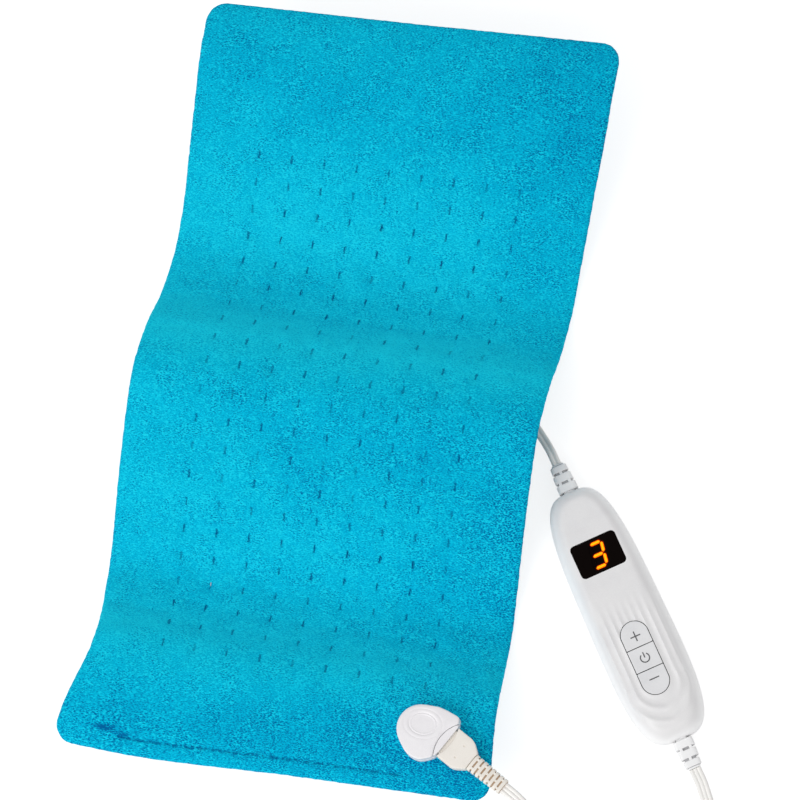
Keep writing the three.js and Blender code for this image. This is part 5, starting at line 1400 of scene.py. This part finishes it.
@dataclass
class MainsLead:
    """The two-core lead from the controller under the pad, its coil on edge and its end to the plug."""

    section: LeadSection = field(default_factory=lambda: LeadSection(7.0, 3.5, 2, 0.5, 5))
    relief_end: float = -126.1
    relief_height: float = 9.0
    tuck: float = 2.5
    route: tuple[Triple, ...] = ((147, 139, 4.6), (136, 150, 3.2), (122, 159, 3.4), (106, 164.8, 4.2))
    drop: tuple[Pair, ...] = ((0.3, 0.93), (0.45, 0.72), (0.6, 0.53), (0.75, 0.46))
    plug_at: float = 0.3
    radius: float = 48.6
    pitch: float = 4.4
    turns: int = 6
    turn_steps: int = 80
    climb: float = 0.5
    low: float = 4.75
    rise: float = 7.8
    plug_height: float = 8.4

    def coil_point(self, turns: float) -> Vector:
        """The coil's line: in at a steady rate, a climb where it reverses, and out."""
        radius = self.radius - self.pitch * min(turns, self.turns - turns)
        angle = math.pi / 2 + turns * math.tau
        climb = clamp((turns - self.turns / 2) / self.climb + 0.5)
        return Vector((
            COIL.x + radius * math.cos(angle), COIL.y + radius * math.sin(angle), self.low + self.rise * climb))

    def build(self) -> None:
        """Builds the mains lead in one length, coil and all."""
        out = [CONTROLLER.at(self.relief_end - way, 0, self.relief_height) for way in (-self.tuck, 0.0, 3.5, 7.0)]
        top = COIL.y + self.radius
        into = [Vector((COIL.x + ahead, top, self.low)) for ahead in (14.3, 7.3, 0.0)]
        head = Line([*out, *(Vector(point) for point in self.route), *into]).stations(STATION)
        rolls = [smooth(i / (len(head) - 1), 0.3, 0.85) * math.pi / 2 for i in range(len(head))]
        steps = self.turns * self.turn_steps
        coil = [self.coil_point(self.turns * i / steps) for i in range(1, steps)]
        high = self.low + self.rise
        tail_points = [Vector((COIL.x, top, high)), Vector((COIL.x - 7, top, high))]
        tail_points += [Vector((mix(COIL.x, self.plug_at, share), top, high * level)) for share, level in self.drop]
        tail_points += [Vector((way, top, self.plug_height)) for way in (7.0, self.plug_at, self.plug_at - self.tuck)]
        tail = Line(tail_points).stations(STATION)
        tail_rolls = [(1 - smooth(i / (len(tail) - 1), 0.2, 0.8)) * math.pi / 2 for i in range(len(tail))]
        lead = Lead(self.section, [*head, *coil, *tail], [*rolls, *([math.pi / 2] * len(coil)), *tail_rolls])
        piece = Piece(
            "mains_lead_cord", SHEATH, "lead_sheath",
            replaces=("mains_lead", "mains_lead_coil", "mains_lead_end")).make(lead.draw())
        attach(piece, ROOT)
        log.info("mains lead %.3f m", lead.length())
        CONTROLLER.at(self.relief_end, 0, self.relief_height) * MM
        lead.length()
        lead.path()


# Socket and lead plug


@dataclass
class PadSocket:
    """The socket on the pad: a body with a raised lip and a cap with a round dish."""

    lobes: tuple[Triple, ...] = (
        (0.5, -4.5, 17.3), (6.0, -9.3, 15.3), (6.0, 4.0, 12.6), (16.0, 13.3, 5.3))
    front: Pair = (-6.0, 30.0)
    lip: Pair = (40.7, 25.0)
    cavity: tuple[Triple, Triple] = ((8.0, -10.5, 3.0), (27.0, 10.5, 10.0))
    cap_middle: Pair = (0.0, -1.0)
    lip_middle: Pair = (19.9, 0.0)
    dish_stretch: Pair = (1.13, 0.87)
    dish_turn: float = 29.0
    count: int = 120

    def whole(self, x: float, y: float) -> bool:
        """Whether a place is in the socket's whole outline: a band round the lobes, with a front."""
        if math.hypot(x - self.front[0], y) > self.front[1]:
            return False
        for angle in spread(0.0, math.tau, 73):
            c, s = math.cos(angle), math.sin(angle)
            if x * c + y * s > max(lobe[0] * c + lobe[1] * s + lobe[2] for lobe in self.lobes):
                return False
        return True

    def in_lip(self, x: float, y: float, gap: float = 0.0) -> bool:
        """Whether a place is under the lip's disc, grown by a gap."""
        return math.hypot(x - self.lip[0], y) <= self.lip[1] + gap

    def build(self) -> None:
        """Builds the cap and the body."""
        top, middle = self.cap_middle, self.lip_middle
        cap = bmesh.new()
        outline = star(top, lambda x, y: self.whole(x, y) and not self.in_lip(x, y, 0.25), self.count)
        slab(cap, outline, top, [
            (0.6, 7.3), (0.15, 7.6), (0.0, 8.4), (0.0, 12.5), (0.1, 12.95), (0.32, 13.32), (0.7, 13.56), (1.2, 13.68),
        ], [
            (14.4, 13.84), (13.4, 13.96), (12.9, 13.82), (12.4, 13.7), (11.9, 13.86), (11.0, 13.92), (10.0, 13.88),
            (9.5, 13.64), (9.1, 13.38), (8.8, 13.36), (8.4, 13.6), (8.1, 13.62), (7.7, 13.4), (7.2, 13.3),
            (4.5, 13.32), (2.0, 13.34), (0.5, 13.34),
        ], self.dish_stretch, self.dish_turn)
        body = bmesh.new()
        slab(body, star(top, self.whole, self.count), top, [
            (1.0, 0.0), (0.3, 0.3), (0.0, 0.9), (0.0, 6.2), (0.3, 6.75), (0.9, 7.0)])
        slab(body, star(middle, lambda x, y: self.whole(x, y) and self.in_lip(x, y), self.count), middle, [
            (0.1, 6.6), (0.0, 7.0), (0.0, 12.1), (0.08, 12.38), (0.25, 12.52), (0.6, 12.59), (1.6, 12.6)])
        for name, bm in (("cap", cap), ("body", body)):
            shell = Piece(f"socket_{name}_shell", SOCKET_WHITE, "white_plastic", replaces=(f"socket_{name}",))
            piece = shell.make(bm, SOCKET)
            cutter = bmesh.new()
            box(cutter, *self.cavity)
            carve(piece, cutter, SOCKET)
            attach(piece, ROOT)
        dress(CREAM, "socket_base")
        dress(BRASS, "socket_pin_1", "socket_pin_2", "socket_pin_3")
        dress(STEEL, "socket_screw_1", "socket_screw_2")


@dataclass
class LeadPlug:
    """The plug in the socket: a flat shell with a tongue, and a ribbed boot on the lead."""

    half_width: float = 12.6
    straight: float = 36.3
    back: float = 43.8
    end_half: float = 7.0
    face: Pair = (-6.0, 30.42)
    middle: Pair = (33.5, 0.0)
    tongue: tuple[Triple, Triple] = ((8.6, -10.2, 3.3), (26.0, 10.2, 9.7))
    contacts: Triple = (-5.0, 0.0, 5.0)
    contact_height: float = 6.5
    pip: Triple = (33.3, 5.2, 12.15)
    boot_start: float = 44.1
    boot_length: float = 29.0
    boot_half: Pair = (6.7, 4.2)
    boot_height: float = 6.65
    ribs: int = 8
    taper: float = 0.9
    core: float = 0.8
    gap: float = 0.5

    def holds(self, x: float, y: float) -> bool:
        """Whether a place is in the shell's outline."""
        share = clamp((x - self.straight) / (self.back - self.straight))
        width = mix(self.half_width, self.end_half, share) - 0.5 * math.exp(-((x - self.straight) ** 2) / 2)
        return x <= self.back and abs(y) <= width and math.hypot(x - self.face[0], y) >= self.face[1]

    def shell(self) -> None:
        """Builds the shell with its tongue, its bores and two small dimples."""
        bm = bmesh.new()
        slab(bm, star(self.middle, self.holds, 144), self.middle, [
            (1.2, 1.3), (0.4, 1.55), (0.0, 2.2), (0.0, 6.25), (0.28, 6.4), (0.28, 6.6), (0.0, 6.75), (0.0, 11.35),
            (0.1, 11.7), (0.3, 11.93), (0.65, 12.03), (4.0, 12.07), (8.0, 12.08)])
        shell = Piece("plug_shell", CREAM, "cream_plastic", PLUG, replaces=("plug_lower_shell", "plug_upper_shell"))
        piece = shell.make(bm, SOCKET)
        tongue = bmesh.new()
        box(tongue, *self.tongue, 0.4)
        carve(piece, tongue, SOCKET, Cut.ON)
        bores = bmesh.new()
        for y in self.contacts:
            bmesh.ops.create_cone(
                bores, cap_ends=True, segments=24, radius1=2.0, radius2=2.0, depth=14.3,
                matrix=Matrix.Translation((13.75, y, self.contact_height)) @ Matrix.Rotation(math.pi / 2, 4, "Y"))
        x, y, z = self.pip
        for side in (-1, 1):
            place = Matrix.Translation((x, side * y, z))
            bmesh.ops.create_uvsphere(bores, u_segments=16, v_segments=10, radius=0.85, matrix=place)
        carve(piece, bores, SOCKET)
        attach(piece, PLUG)

    def boot(self) -> None:
        """Builds the ribbed boot, with webs across its grooves by turns at the middle and the sides."""
        rib = self.boot_length / (self.ribs + (self.ribs - 1) * self.gap)
        pitch = rib * (1 + self.gap)

        def ring(distance: float, share: float) -> list[Vector]:
            """One ring of the boot."""
            narrow = share * (1 - (1 - self.taper) * max(distance / self.boot_length, 0.0))
            outline = oval(36, self.boot_half[0] * narrow, self.boot_half[1] * narrow, 3.6)
            return stood(outline, self.boot_start + distance, self.boot_height)

        rings = [ring(-0.6, self.core)]
        for i in range(self.ribs):
            rise = ((0.0, self.core), (0.02, 0.95), (0.28, 1.0))
            fall = ((rib - distance, share) for distance, share in reversed(rise))
            rings += [ring(i * pitch + distance, share) for distance, share in (*rise, *fall)]
        bm = bmesh.new()
        bm.verts.layers.float.new("groove")
        # The rings in the grooves between the ribs carry painted shade.
        mark_grooves(bm, draw_rings(bm, rings), lambda i: i % 6 in (0, 1))
        for i in range(self.ribs - 1):
            start = i * pitch
            narrow = 1 - (1 - self.taper) * start / self.boot_length
            for y in ((0.0,) if i % 2 else (-3.7, 3.7)):
                height = self.boot_half[1] * narrow * 0.93
                box(
                    bm, (self.boot_start + start + rib - 0.3, (y - 0.9) * narrow, self.boot_height - height),
                    (self.boot_start + start + pitch + 0.3, (y + 0.9) * narrow, self.boot_height + height), 0.25)
        ribs = Piece("plug_boot_ribs", RIBBED_CREAM, "cream_plastic", PLUG, replaces=("plug_boot",), sharp=40.0)
        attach(ribs.make(bm, SOCKET), PLUG)

    def build(self) -> None:
        """Builds the plug."""
        self.shell()
        self.boot()
        dress(BRASS, "plug_contact_1", "plug_contact_2", "plug_contact_3")


# Controller


@dataclass
class Casing:
    """The controller's casing: a ribbed front and a smooth rear that meet at a fine line."""

    length: float = 200.0
    width: float = 58.5
    height: float = 26.0
    front_low: float = 11.15
    rear_high: float = 10.85
    power: float = 3.6
    taper: float = 0.06
    shoulder: float = 11.1
    sole: float = 4.68
    wall: float = 2.0
    window: tuple[float, float, float, float] = (-45.5, 25.5, 34.5, 3.0)
    gap: float = 0.4
    cut_levels: Pair = (19.0, 30.0)
    wave_lengths: Pair = (5.6, 10.4)
    wave_heights: Pair = (0.44, 0.52)
    bosses: tuple[Pair, ...] = ((-82.0, -13.0), (-82.0, 13.0), (82.0, -13.0), (82.0, 13.0))
    count: int = 240
    fine: int = 4000

    def __post_init__(self) -> None:
        """Spaces the outline's points evenly along it."""
        points = [self.point(i / self.fine * math.tau, 0.0) for i in range(self.fine + 1)]
        marks = [0.0]
        for before, after in zip(points, points[1:]):
            marks.append(marks[-1] + math.dist(before, after))
        step = marks[-1] / self.count
        self.angles = [bisect_left(marks, step * i) / self.fine * math.tau for i in range(self.count)]

    def point(self, angle: float, inset: float) -> Pair:
        """A point of the outline, inset from its widest."""
        x, y = rounded(angle, self.length / 2 - inset, self.width / 2 - inset, self.power)
        return x, y * (1 + self.taper * x / (self.length / 2))

    def ripple(self, x: float, y: float) -> float:
        """The ribs of the front face: long waves below the window, and wider steps round the keys' end."""
        _, end, radius = CAPSULE
        past = max(x - (end - radius), 0.0)
        round_end = math.atan2(past, abs(y)) / (math.pi / 2) if past else 0.0
        turns = (math.hypot(past, y) - radius - 0.6) / mix(*self.wave_lengths, round_end)
        share = smooth(x, -15.0, 14.0) * (1 - smooth(turns, 1.95, 2.75))
        wave = math.cos(math.tau * turns) + 0.25 * math.cos(2 * math.tau * turns)
        return share * (mix(*self.wave_heights, round_end) * wave - 0.12)

    def skin(self, bm: BMesh, levels: list[Pair], ribbed: bool) -> None:
        """Draws half of the casing's skin from its rim to its middle, and closes it there.

        Args:
            bm: The mesh to draw in.
            levels: Pairs of inset and height from the rim inwards.
            ribbed: Whether the ribs are on it.
        """
        rings = []
        for inset, height in levels:
            ribs = smooth(inset, 1.0, 5.0) if ribbed else 0.0
            places = (self.point(angle, inset) for angle in self.angles)
            rings.append([Vector((x, y, height + self.ripple(x, y) * ribs)) for x, y in places])
        last = draw_rings(bm, rings, False, False)[-1]
        half = self.count // 2
        bmesh.ops.contextual_create(bm, geom=[last[0], last[1], last[-1]])
        for i in range(1, half - 1):
            bmesh.ops.contextual_create(bm, geom=[last[i], last[i + 1], last[-i - 1], last[-i]])
        bmesh.ops.contextual_create(bm, geom=[last[half - 1], last[half], last[half + 1]])

    def half(self, name: str, levels: list[Pair], ribbed: bool, openings: Callable[[BMesh], None]) -> None:
        """Builds one half of the casing.

        Args:
            name: Which half.
            levels: Pairs of inset and height from the rim inwards.
            ribbed: Whether the ribs are on it.
            openings: Adds the half's own openings to the cutter.
        """
        bm = bmesh.new()
        self.skin(bm, levels, ribbed)
        shell = Piece(f"casing_{name}_shell", WHITE, "white_plastic", replaces=(f"{name}_casing",))
        piece = shell.make(bm, CONTROLLER)
        wall = piece.modifiers.new("Wall", "SOLIDIFY")
        wall.thickness = self.wall * MM
        wall.offset = -1.0
        smooth_faces(bake(piece), SHARP)
        cutter = bmesh.new()
        for end in (-1, 1):
            low, high = sorted((end * 92.0, end * 108.0))
            box(cutter, (low, -4.8, 5.2), (high, 4.8, 12.8))
        openings(cutter)
        carve(piece, cutter, CONTROLLER)
        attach(piece, ROOT)

    def front_openings(self, cutter: BMesh) -> None:
        """Adds the openings of the window and of the keys."""
        place, along, across, corner = self.window
        start, end, radius = CAPSULE
        grown = radius + self.gap
        for middle, outline in (
            (place, rounded_box(along / 2 + self.gap, across / 2 + self.gap, corner + self.gap)),
            ((start + end) / 2, rounded_box((end - start) / 2 + self.gap, grown, grown - 0.01, 24)),
        ):
            draw_rings(cutter, [[Vector((middle + x, y, z)) for x, y in outline] for z in self.cut_levels])

    def rear_openings(self, cutter: BMesh) -> None:
        """Adds the four screw wells."""
        for x, y in self.bosses:
            bmesh.ops.create_cone(
                cutter, cap_ends=True, segments=32, radius1=3.0, radius2=3.0, depth=4.3,
                matrix=Matrix.Translation((x, y, 1.15)))

    def build(self) -> None:
        """Builds both halves."""
        levels = []
        for inset in (0.0, 0.12, 0.35, 0.7, 1.1, 1.6, 2.2, 3.0, 3.8, 4.8, 5.8, 6.8, 7.9, 9.0, 10.0, self.shoulder):
            share = 1 - (1 - inset / self.shoulder) ** 2
            levels.append((inset, mix(self.front_low, self.height, share**0.6)))
        levels += [(inset, self.height) for inset in spread(12.0, 28.7, 18)]
        self.half("front", levels, True, self.front_openings)
        levels = [
            (self.sole * (1 - share) ** 4.2, self.rear_high * share)
            for share in (1.0, 0.9, 0.78, 0.64, 0.5, 0.4, 0.3, 0.22, 0.15, 0.1, 0.06, 0.03, 0.01, 0.0)]
        levels += [(inset, 0.0) for inset in spread(6.0, 28.7, 10)]
        self.half("rear", levels, False, self.rear_openings)
        dress(STEEL, *(f"casing_screw_{i}" for i in range(1, 5)))


class Sign(Enum):
    """The signs on the keys."""

    PLUS = "plus"
    POWER = "power"
    MINUS = "minus"


@dataclass
class Keys:
    """The three keys of the capsule, with their signs, plungers and switches.

    Each key has its ends along the controller, its middle and the place of its sign.
    """

    top: float = 26.5
    low: float = 22.2
    places: dict[Sign, tuple[float, float, float, float]] = field(default_factory=lambda: {
        Sign.PLUS: (9.5, 28.95, 20.0, 20.9), Sign.POWER: (29.25, 46.75, 38.0, 38.1),
        Sign.MINUS: (47.05, 66.5, 56.0, 54.5)})
    reach: float = 3.8
    stroke: float = 0.4
    ring: float = 3.3
    ring_from: float = 217.0
    ring_to: float = 503.0

    def key(self, sign: Sign) -> None:
        """Builds one key, a little hollow on top."""
        low, high, centre, _ = self.places[sign]
        start, end, radius = CAPSULE

        def holds(x: float, y: float) -> bool:
            """Whether a place is in the key's outline."""
            off = max(start + radius - x, x - end + radius, 0.0)
            return low <= x <= high and math.hypot(off, y) <= radius

        bm = bmesh.new()
        bm.verts.layers.float.new("groove")
        drops = (
            (0.1, self.top - self.low), (0.1, 0.8), (0.1, 0.4), (0.18, 0.16), (0.4, 0.03),
            (0.85, 0.0), (2.2, 0.03), (4.5, 0.1), (7.0, 0.14), (8.2, 0.15))
        levels = [(inset, self.top - drop) for inset, drop in drops]
        # The key's side wall, in the gap round the key, carries painted shade.
        mark_grooves(bm, slab(bm, star((centre, 0.0), holds, 144), (centre, 0.0), levels), lambda i: i < 3)
        body = f"{sign.value}_key"
        face = Piece(f"key_face_{sign.value}", KEY_WHITE, "key_plastic", body, replaces=(f"key_{sign.value}",))
        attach(face.make(bm, CONTROLLER), body)

    def sign(self, sign: Sign) -> None:
        """Prints one sign on its key."""
        bm = bmesh.new()
        centre = self.places[sign][-1]
        low, high = self.top - 0.3, self.top + 0.03
        line, reach = self.stroke, self.reach
        if sign is not Sign.POWER:
            box(bm, (centre - line, -reach, low), (centre + line, reach, high))
        if sign is Sign.PLUS:
            box(bm, (centre - reach, -line, low), (centre - line, line, high))
            box(bm, (centre + line, -line, low), (centre + reach, line, high))
        if sign is Sign.POWER:
            box(bm, (centre - self.ring - 1.1, -line, low), (centre - 0.2, line, high))
            rings = []
            for angle in spread(math.radians(self.ring_from), math.radians(self.ring_to), 40):
                c, s = math.cos(angle), math.sin(angle)
                rings.append([
                    Vector((centre + (self.ring + off) * c, (self.ring + off) * s, z))
                    for off, z in ((-line, low), (line, low), (line, high), (-line, high))])
            draw_rings(bm, rings)
        body = f"{sign.value}_key"
        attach(Piece(f"sign_{sign.value}", INK, "key_plastic", body).make(bm, CONTROLLER), body)

    def build(self) -> None:
        """Builds the keys and dresses what is under them."""
        for sign in self.places:
            self.key(sign)
            self.sign(sign)
            dress(BLACK, f"plunger_{sign.value}")
            dress(STEEL, f"switch_{sign.value}")


@dataclass
class Reliefs:
    """The strain reliefs at the controller's ends: blocks that get smaller towards the lead.

    Each block has its two ends as shares of the length, and its size at both.
    """

    root: float = 93.5
    start: float = 100.3
    length: float = 23.0
    half: Pair = (7.5, 4.8)
    centre: float = 9.0
    neck: Pair = (4.4, 3.4)
    blocks: tuple[tuple[float, float, float, float], ...] = (
        (0.03, 0.3, 1.0, 1.0), (0.38, 0.64, 0.95, 0.92), (0.72, 0.93, 0.86, 0.82))
    webs: tuple[tuple[float, float, float, tuple[float, ...]], ...] = (
        (0.3, 0.38, 0.92, (-3.6, 3.6)), (0.64, 0.72, 0.82, (0.0,)))
    waist: float = 0.61
    soft: float = 0.45

    def sections(self) -> list[Triple]:
        """The relief's sections: the place along it and the half width and height."""
        half_y, half_z = self.half
        waist = (half_y * self.waist, half_z * self.waist)
        found = [(self.root, *self.neck), (self.start + 0.9, *self.neck)]
        for first, last, share_a, share_b in self.blocks:
            low, high = self.start + first * self.length, self.start + last * self.length
            near, far = (half_y * share_a, half_z * share_a), (half_y * share_b, half_z * share_b)
            found += [
                (low, *waist), (low + 0.02, near[0] - self.soft, near[1] - self.soft), (low + self.soft, *near),
                (high - self.soft, *far), (high - 0.02, far[0] - self.soft, far[1] - self.soft), (high, *waist)]
        end = self.start + self.length
        return [*found, (end - 0.4, waist[0], half_z * 0.58), (end, waist[0] - 0.4, half_z * 0.5)]

    def build(self) -> None:
        """Builds both reliefs."""
        for name, end in (("pad", 1), ("mains", -1)):
            bm = bmesh.new()
            bm.verts.layers.float.new("groove")
            rings = [stood(oval(44, y, z, 4.2), end * x, self.centre, end) for x, y, z in self.sections()]
            # The waists before, between and after the blocks carry painted shade.
            mark_grooves(bm, draw_rings(bm, rings), lambda i: 1 < i < 20 and i % 6 in (1, 2))
            for first, last, share, middles in self.webs:
                ends = (self.start + first * self.length - 0.3, self.start + last * self.length + 0.3)
                low, high = sorted(end * place for place in ends)
                reach = self.half[1] * share
                for y in middles:
                    box(bm, (low, y - 1.1, self.centre - reach), (high, y + 1.1, self.centre + reach), 0.2)
            blocks = Piece(
                f"{name}_relief_blocks", RIBBED_WHITE, "white_plastic", replaces=(f"{name}_relief",), sharp=40.0)
            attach(blocks.make(bm, CONTROLLER), ROOT)


# Mains plug and tie


@dataclass
class MainsPlug:
    """The mains plug, whose sections are given by place, half width and half height."""

    height: float = 8.4
    stations: tuple[Triple, ...] = (
        (0.0, 4.2, 2.9), (0.5, 4.7, 3.2), (2.0, 4.75, 3.25), (25.0, 5.7, 3.9), (25.6, 7.2, 5.4), (27.0, 9.0, 6.6),
        (29.5, 10.5, 7.5), (33.0, 11.3, 7.9), (38.0, 11.5, 8.0), (50.0, 11.5, 8.0), (54.0, 11.2, 7.7),
        (56.0, 10.6, 7.1), (56.8, 9.9, 6.5), (57.0, 9.2, 5.8))
    tail_from: int = 2
    ribs: int = 7
    first_rib: float = 3.2
    pitch: float = 2.9
    rib: tuple[Pair, ...] = ((0.0, 1.0), (0.3, 0.86), (1.2, 0.86), (1.5, 1.0))

    def tail(self) -> list[Triple]:
        """The sections of the ribbed tail, between two of the stations."""
        (low, y0, z0), (high, y1, z1) = self.stations[self.tail_from:self.tail_from + 2]
        found = []
        for k in range(self.ribs):
            for step, narrow in self.rib:
                place = self.first_rib + k * self.pitch + step
                share = (place - low) / (high - low)
                found.append((place, mix(y0, y1, share) * narrow, mix(z0, z1, share) * narrow))
        return found

    def build(self) -> None:
        """Builds the plug's body and dresses the blades."""
        split = self.tail_from + 1
        sections = [*self.stations[:split], *self.tail(), *self.stations[split:]]
        bm = bmesh.new()
        draw_rings(bm, [stood(oval(56, y, z, 3.4), x, self.height) for x, y, z in sections])
        shell = Piece("mains_plug_shell", WHITE, "plug_plastic", replaces=("mains_plug_body",), sharp=40.0)
        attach(shell.make(bm, MAINS_PLUG), ROOT)
        dress(BRASS, "plug_blade_1", "plug_blade_2")


@dataclass
class CoilBand:
    """The band round the coil: a strip that runs round the bundle."""

    inside: float = 32.8
    outside: float = 51.2
    half_width: float = 6.0
    thick: float = 0.8
    low: float = 0.15
    high: float = 17.15
    soft: Pair = (0.3, 0.35)
    corner: float = 1.6

    def build(self) -> None:
        """Builds the band."""
        middle_x, middle_z = (self.inside + self.outside) / 2, (self.low + self.high) / 2
        half_x, half_z = (self.outside - self.inside) / 2 + self.thick, (self.high - self.low) / 2
        edge, thin = self.soft
        flat = self.half_width - edge
        outer = ((-self.half_width, thin), (-flat, 0.0), (flat, 0.0), (self.half_width, thin))
        loops = [(y, rounded_box(half_x - inset, half_z - inset, self.corner - inset)) for y, inset in outer]
        inner = rounded_box(half_x - self.thick, half_z - self.thick, self.corner - self.thick)
        loops += [(self.half_width, inner), (-self.half_width, inner)]
        bm = bmesh.new()
        drawn = draw_rings(
            bm, [[Vector((middle_x + x, y, middle_z + z)) for x, z in outline] for y, outline in loops], False, False)
        bmesh.ops.bridge_loops(bm, edges=loop_edges(bm, drawn[0]) + loop_edges(bm, drawn[-1]))
        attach(Piece("coil_band", BAND, "tie_plastic", replaces=("coil_tie",)).make(bm, COIL), ROOT)


@dataclass
class Insides:
    """Finishes of what the covers and the casing hide."""

    def build(self) -> None:
        """Dresses the hidden CAD nodes."""
        dress(FELT, "front_felt", "back_felt")
        dress(SLEEVE, "heating_wire", "sensor_wire")
        dress(BLACK, "temperature_sensor", "display_module", "triac", "microcontroller")
        dress(BOARD, "circuit_board")
        dress(CASE, "capacitor")
        dress(STEEL, "fuse")
        dress(CORE, "mains_core_1", "mains_core_2", "pad_core_1", "pad_core_2", "pad_core_3")
        dress(WINDOW, "display_window")
        dress(AMBER, "display_diffuser")


# Stage


@dataclass
class Studio:
    """The camera at the photograph's angle, a pale floor, three soft lamps and a soft sky.

    The camera's place is in millimetres. Each lamp has its direction, its size and its power.
    """

    camera_at: Triple = (567.3, -574.9, 3210.2)
    right: Triple = (0.9754, 0.1854, -0.1195)
    up: Triple = (-0.1525, 0.9581, 0.2423)
    lens: float = 202.5
    sensor: float = 36.0
    floor_size: float = 6.0
    floor_at: Triple = (0.1, 0.05, -0.0002)
    veil: float = 0.72
    lamps: tuple[tuple[float, float, float, float, float], ...] = (
        (-0.5, -0.66, 0.82, 1.6, 26.0), (0.35, -0.75, 0.65, 1.8, 7.0), (0.5, 0.55, 0.75, 2.4, 2.0))
    lamp_distance: float = 2.6
    lit_place: Triple = (0.09, 0.06, 0.0)
    sky: float = 0.62

    def camera(self) -> None:
        """Sets the camera."""
        x = Vector(self.right).normalized()
        z = x.cross(Vector(self.up)).normalized()
        turn = Matrix((x, z.cross(x), z)).transposed().to_4x4()
        data = bpy.data.cameras.new("camera")
        data.lens = self.lens
        data.sensor_width = self.sensor
        data.clip_end = 50.0
        bpy.context.scene.camera = put("camera", data, Matrix.Translation(Vector(self.camera_at) * MM) @ turn)

    def seen(self, graph: Graph) -> Wire:
        """1 for rays of the camera, of reflections and of clear things, else 0."""
        kinds = ("Camera", "Glossy", "Transmission")
        camera, glossy, clear = (graph.add("LightPath", {}, f"Is {kind} Ray") for kind in kinds)
        return graph.compute("MAXIMUM", graph.compute("MAXIMUM", camera, glossy), clear)

    def floor(self) -> None:
        """Lays the floor: matt and pale, near white as the camera sees it, with the shadow kept."""
        bm = bmesh.new()
        bmesh.ops.create_grid(bm, x_segments=1, y_segments=1, size=self.floor_size / 2)
        mesh = bpy.data.meshes.new("floor")
        bm.to_mesh(mesh)
        bm.free()
        graph = Graph(bpy.data.materials.new("floor_paper"))
        matt = graph.add("BsdfDiffuse", {"Color": (0.8, 0.8, 0.8, 1)})
        shown = graph.add("BsdfDiffuse", {"Color": (0.5, 0.5, 0.5, 1)})
        veil = graph.add("Emission", {"Color": WHITE_LIGHT, "Strength": self.veil})
        pale = graph.add("AddShader", {0: shown, 1: veil})
        both = graph.add("MixShader", {0: self.seen(graph), 1: matt, 2: pale})
        mesh.materials.append(graph.end("Material", both))
        put("floor", mesh, Matrix.Translation(self.floor_at))

    def lights(self) -> None:
        """Hangs the lamps and sets the sky."""
        for i, (x, y, z, size, power) in enumerate(self.lamps, 1):
            lamp = bpy.data.lights.new(f"softbox_{i}", "AREA")
            lamp.shape = "DISK"
            lamp.size = size
            lamp.energy = power
            way = Vector((x, y, z)).normalized()
            place = Matrix.Translation(Vector(self.lit_place) + way * self.lamp_distance)
            put(f"softbox_{i}", lamp, place @ way.to_track_quat("Z", "Y").to_matrix().to_4x4())
        graph = Graph(bpy.data.worlds.new("sky"))
        soft = graph.add("Background", {0: (0.99, 0.99, 1.0, 1), 1: self.sky})
        white = graph.add("Background", {0: WHITE_LIGHT, 1: 1.0})
        bpy.context.scene.world = graph.end("World", graph.add("MixShader", {0: self.seen(graph), 1: soft, 2: white}))

    def build(self) -> None:
        """Builds the stage."""
        bpy.context.scene.view_settings.view_transform = "Standard"
        self.camera()
        self.floor()
        self.lights()


def main() -> None:
    """Builds the stage and every part of the heating pad in order."""
    logging.basicConfig(level=logging.INFO, format="%(message)s")
    for part in (
        Studio(), PadLead(), MainsPlug(), CoilBand(), MainsLead(), PadQuilt(), PadSocket(), LeadPlug(), Casing(),
        Keys(), Reliefs(), Insides(),
    ):
        part.build()
        log.info("built %s", type(part).__name__)


if __name__ == "__main__":
    main()
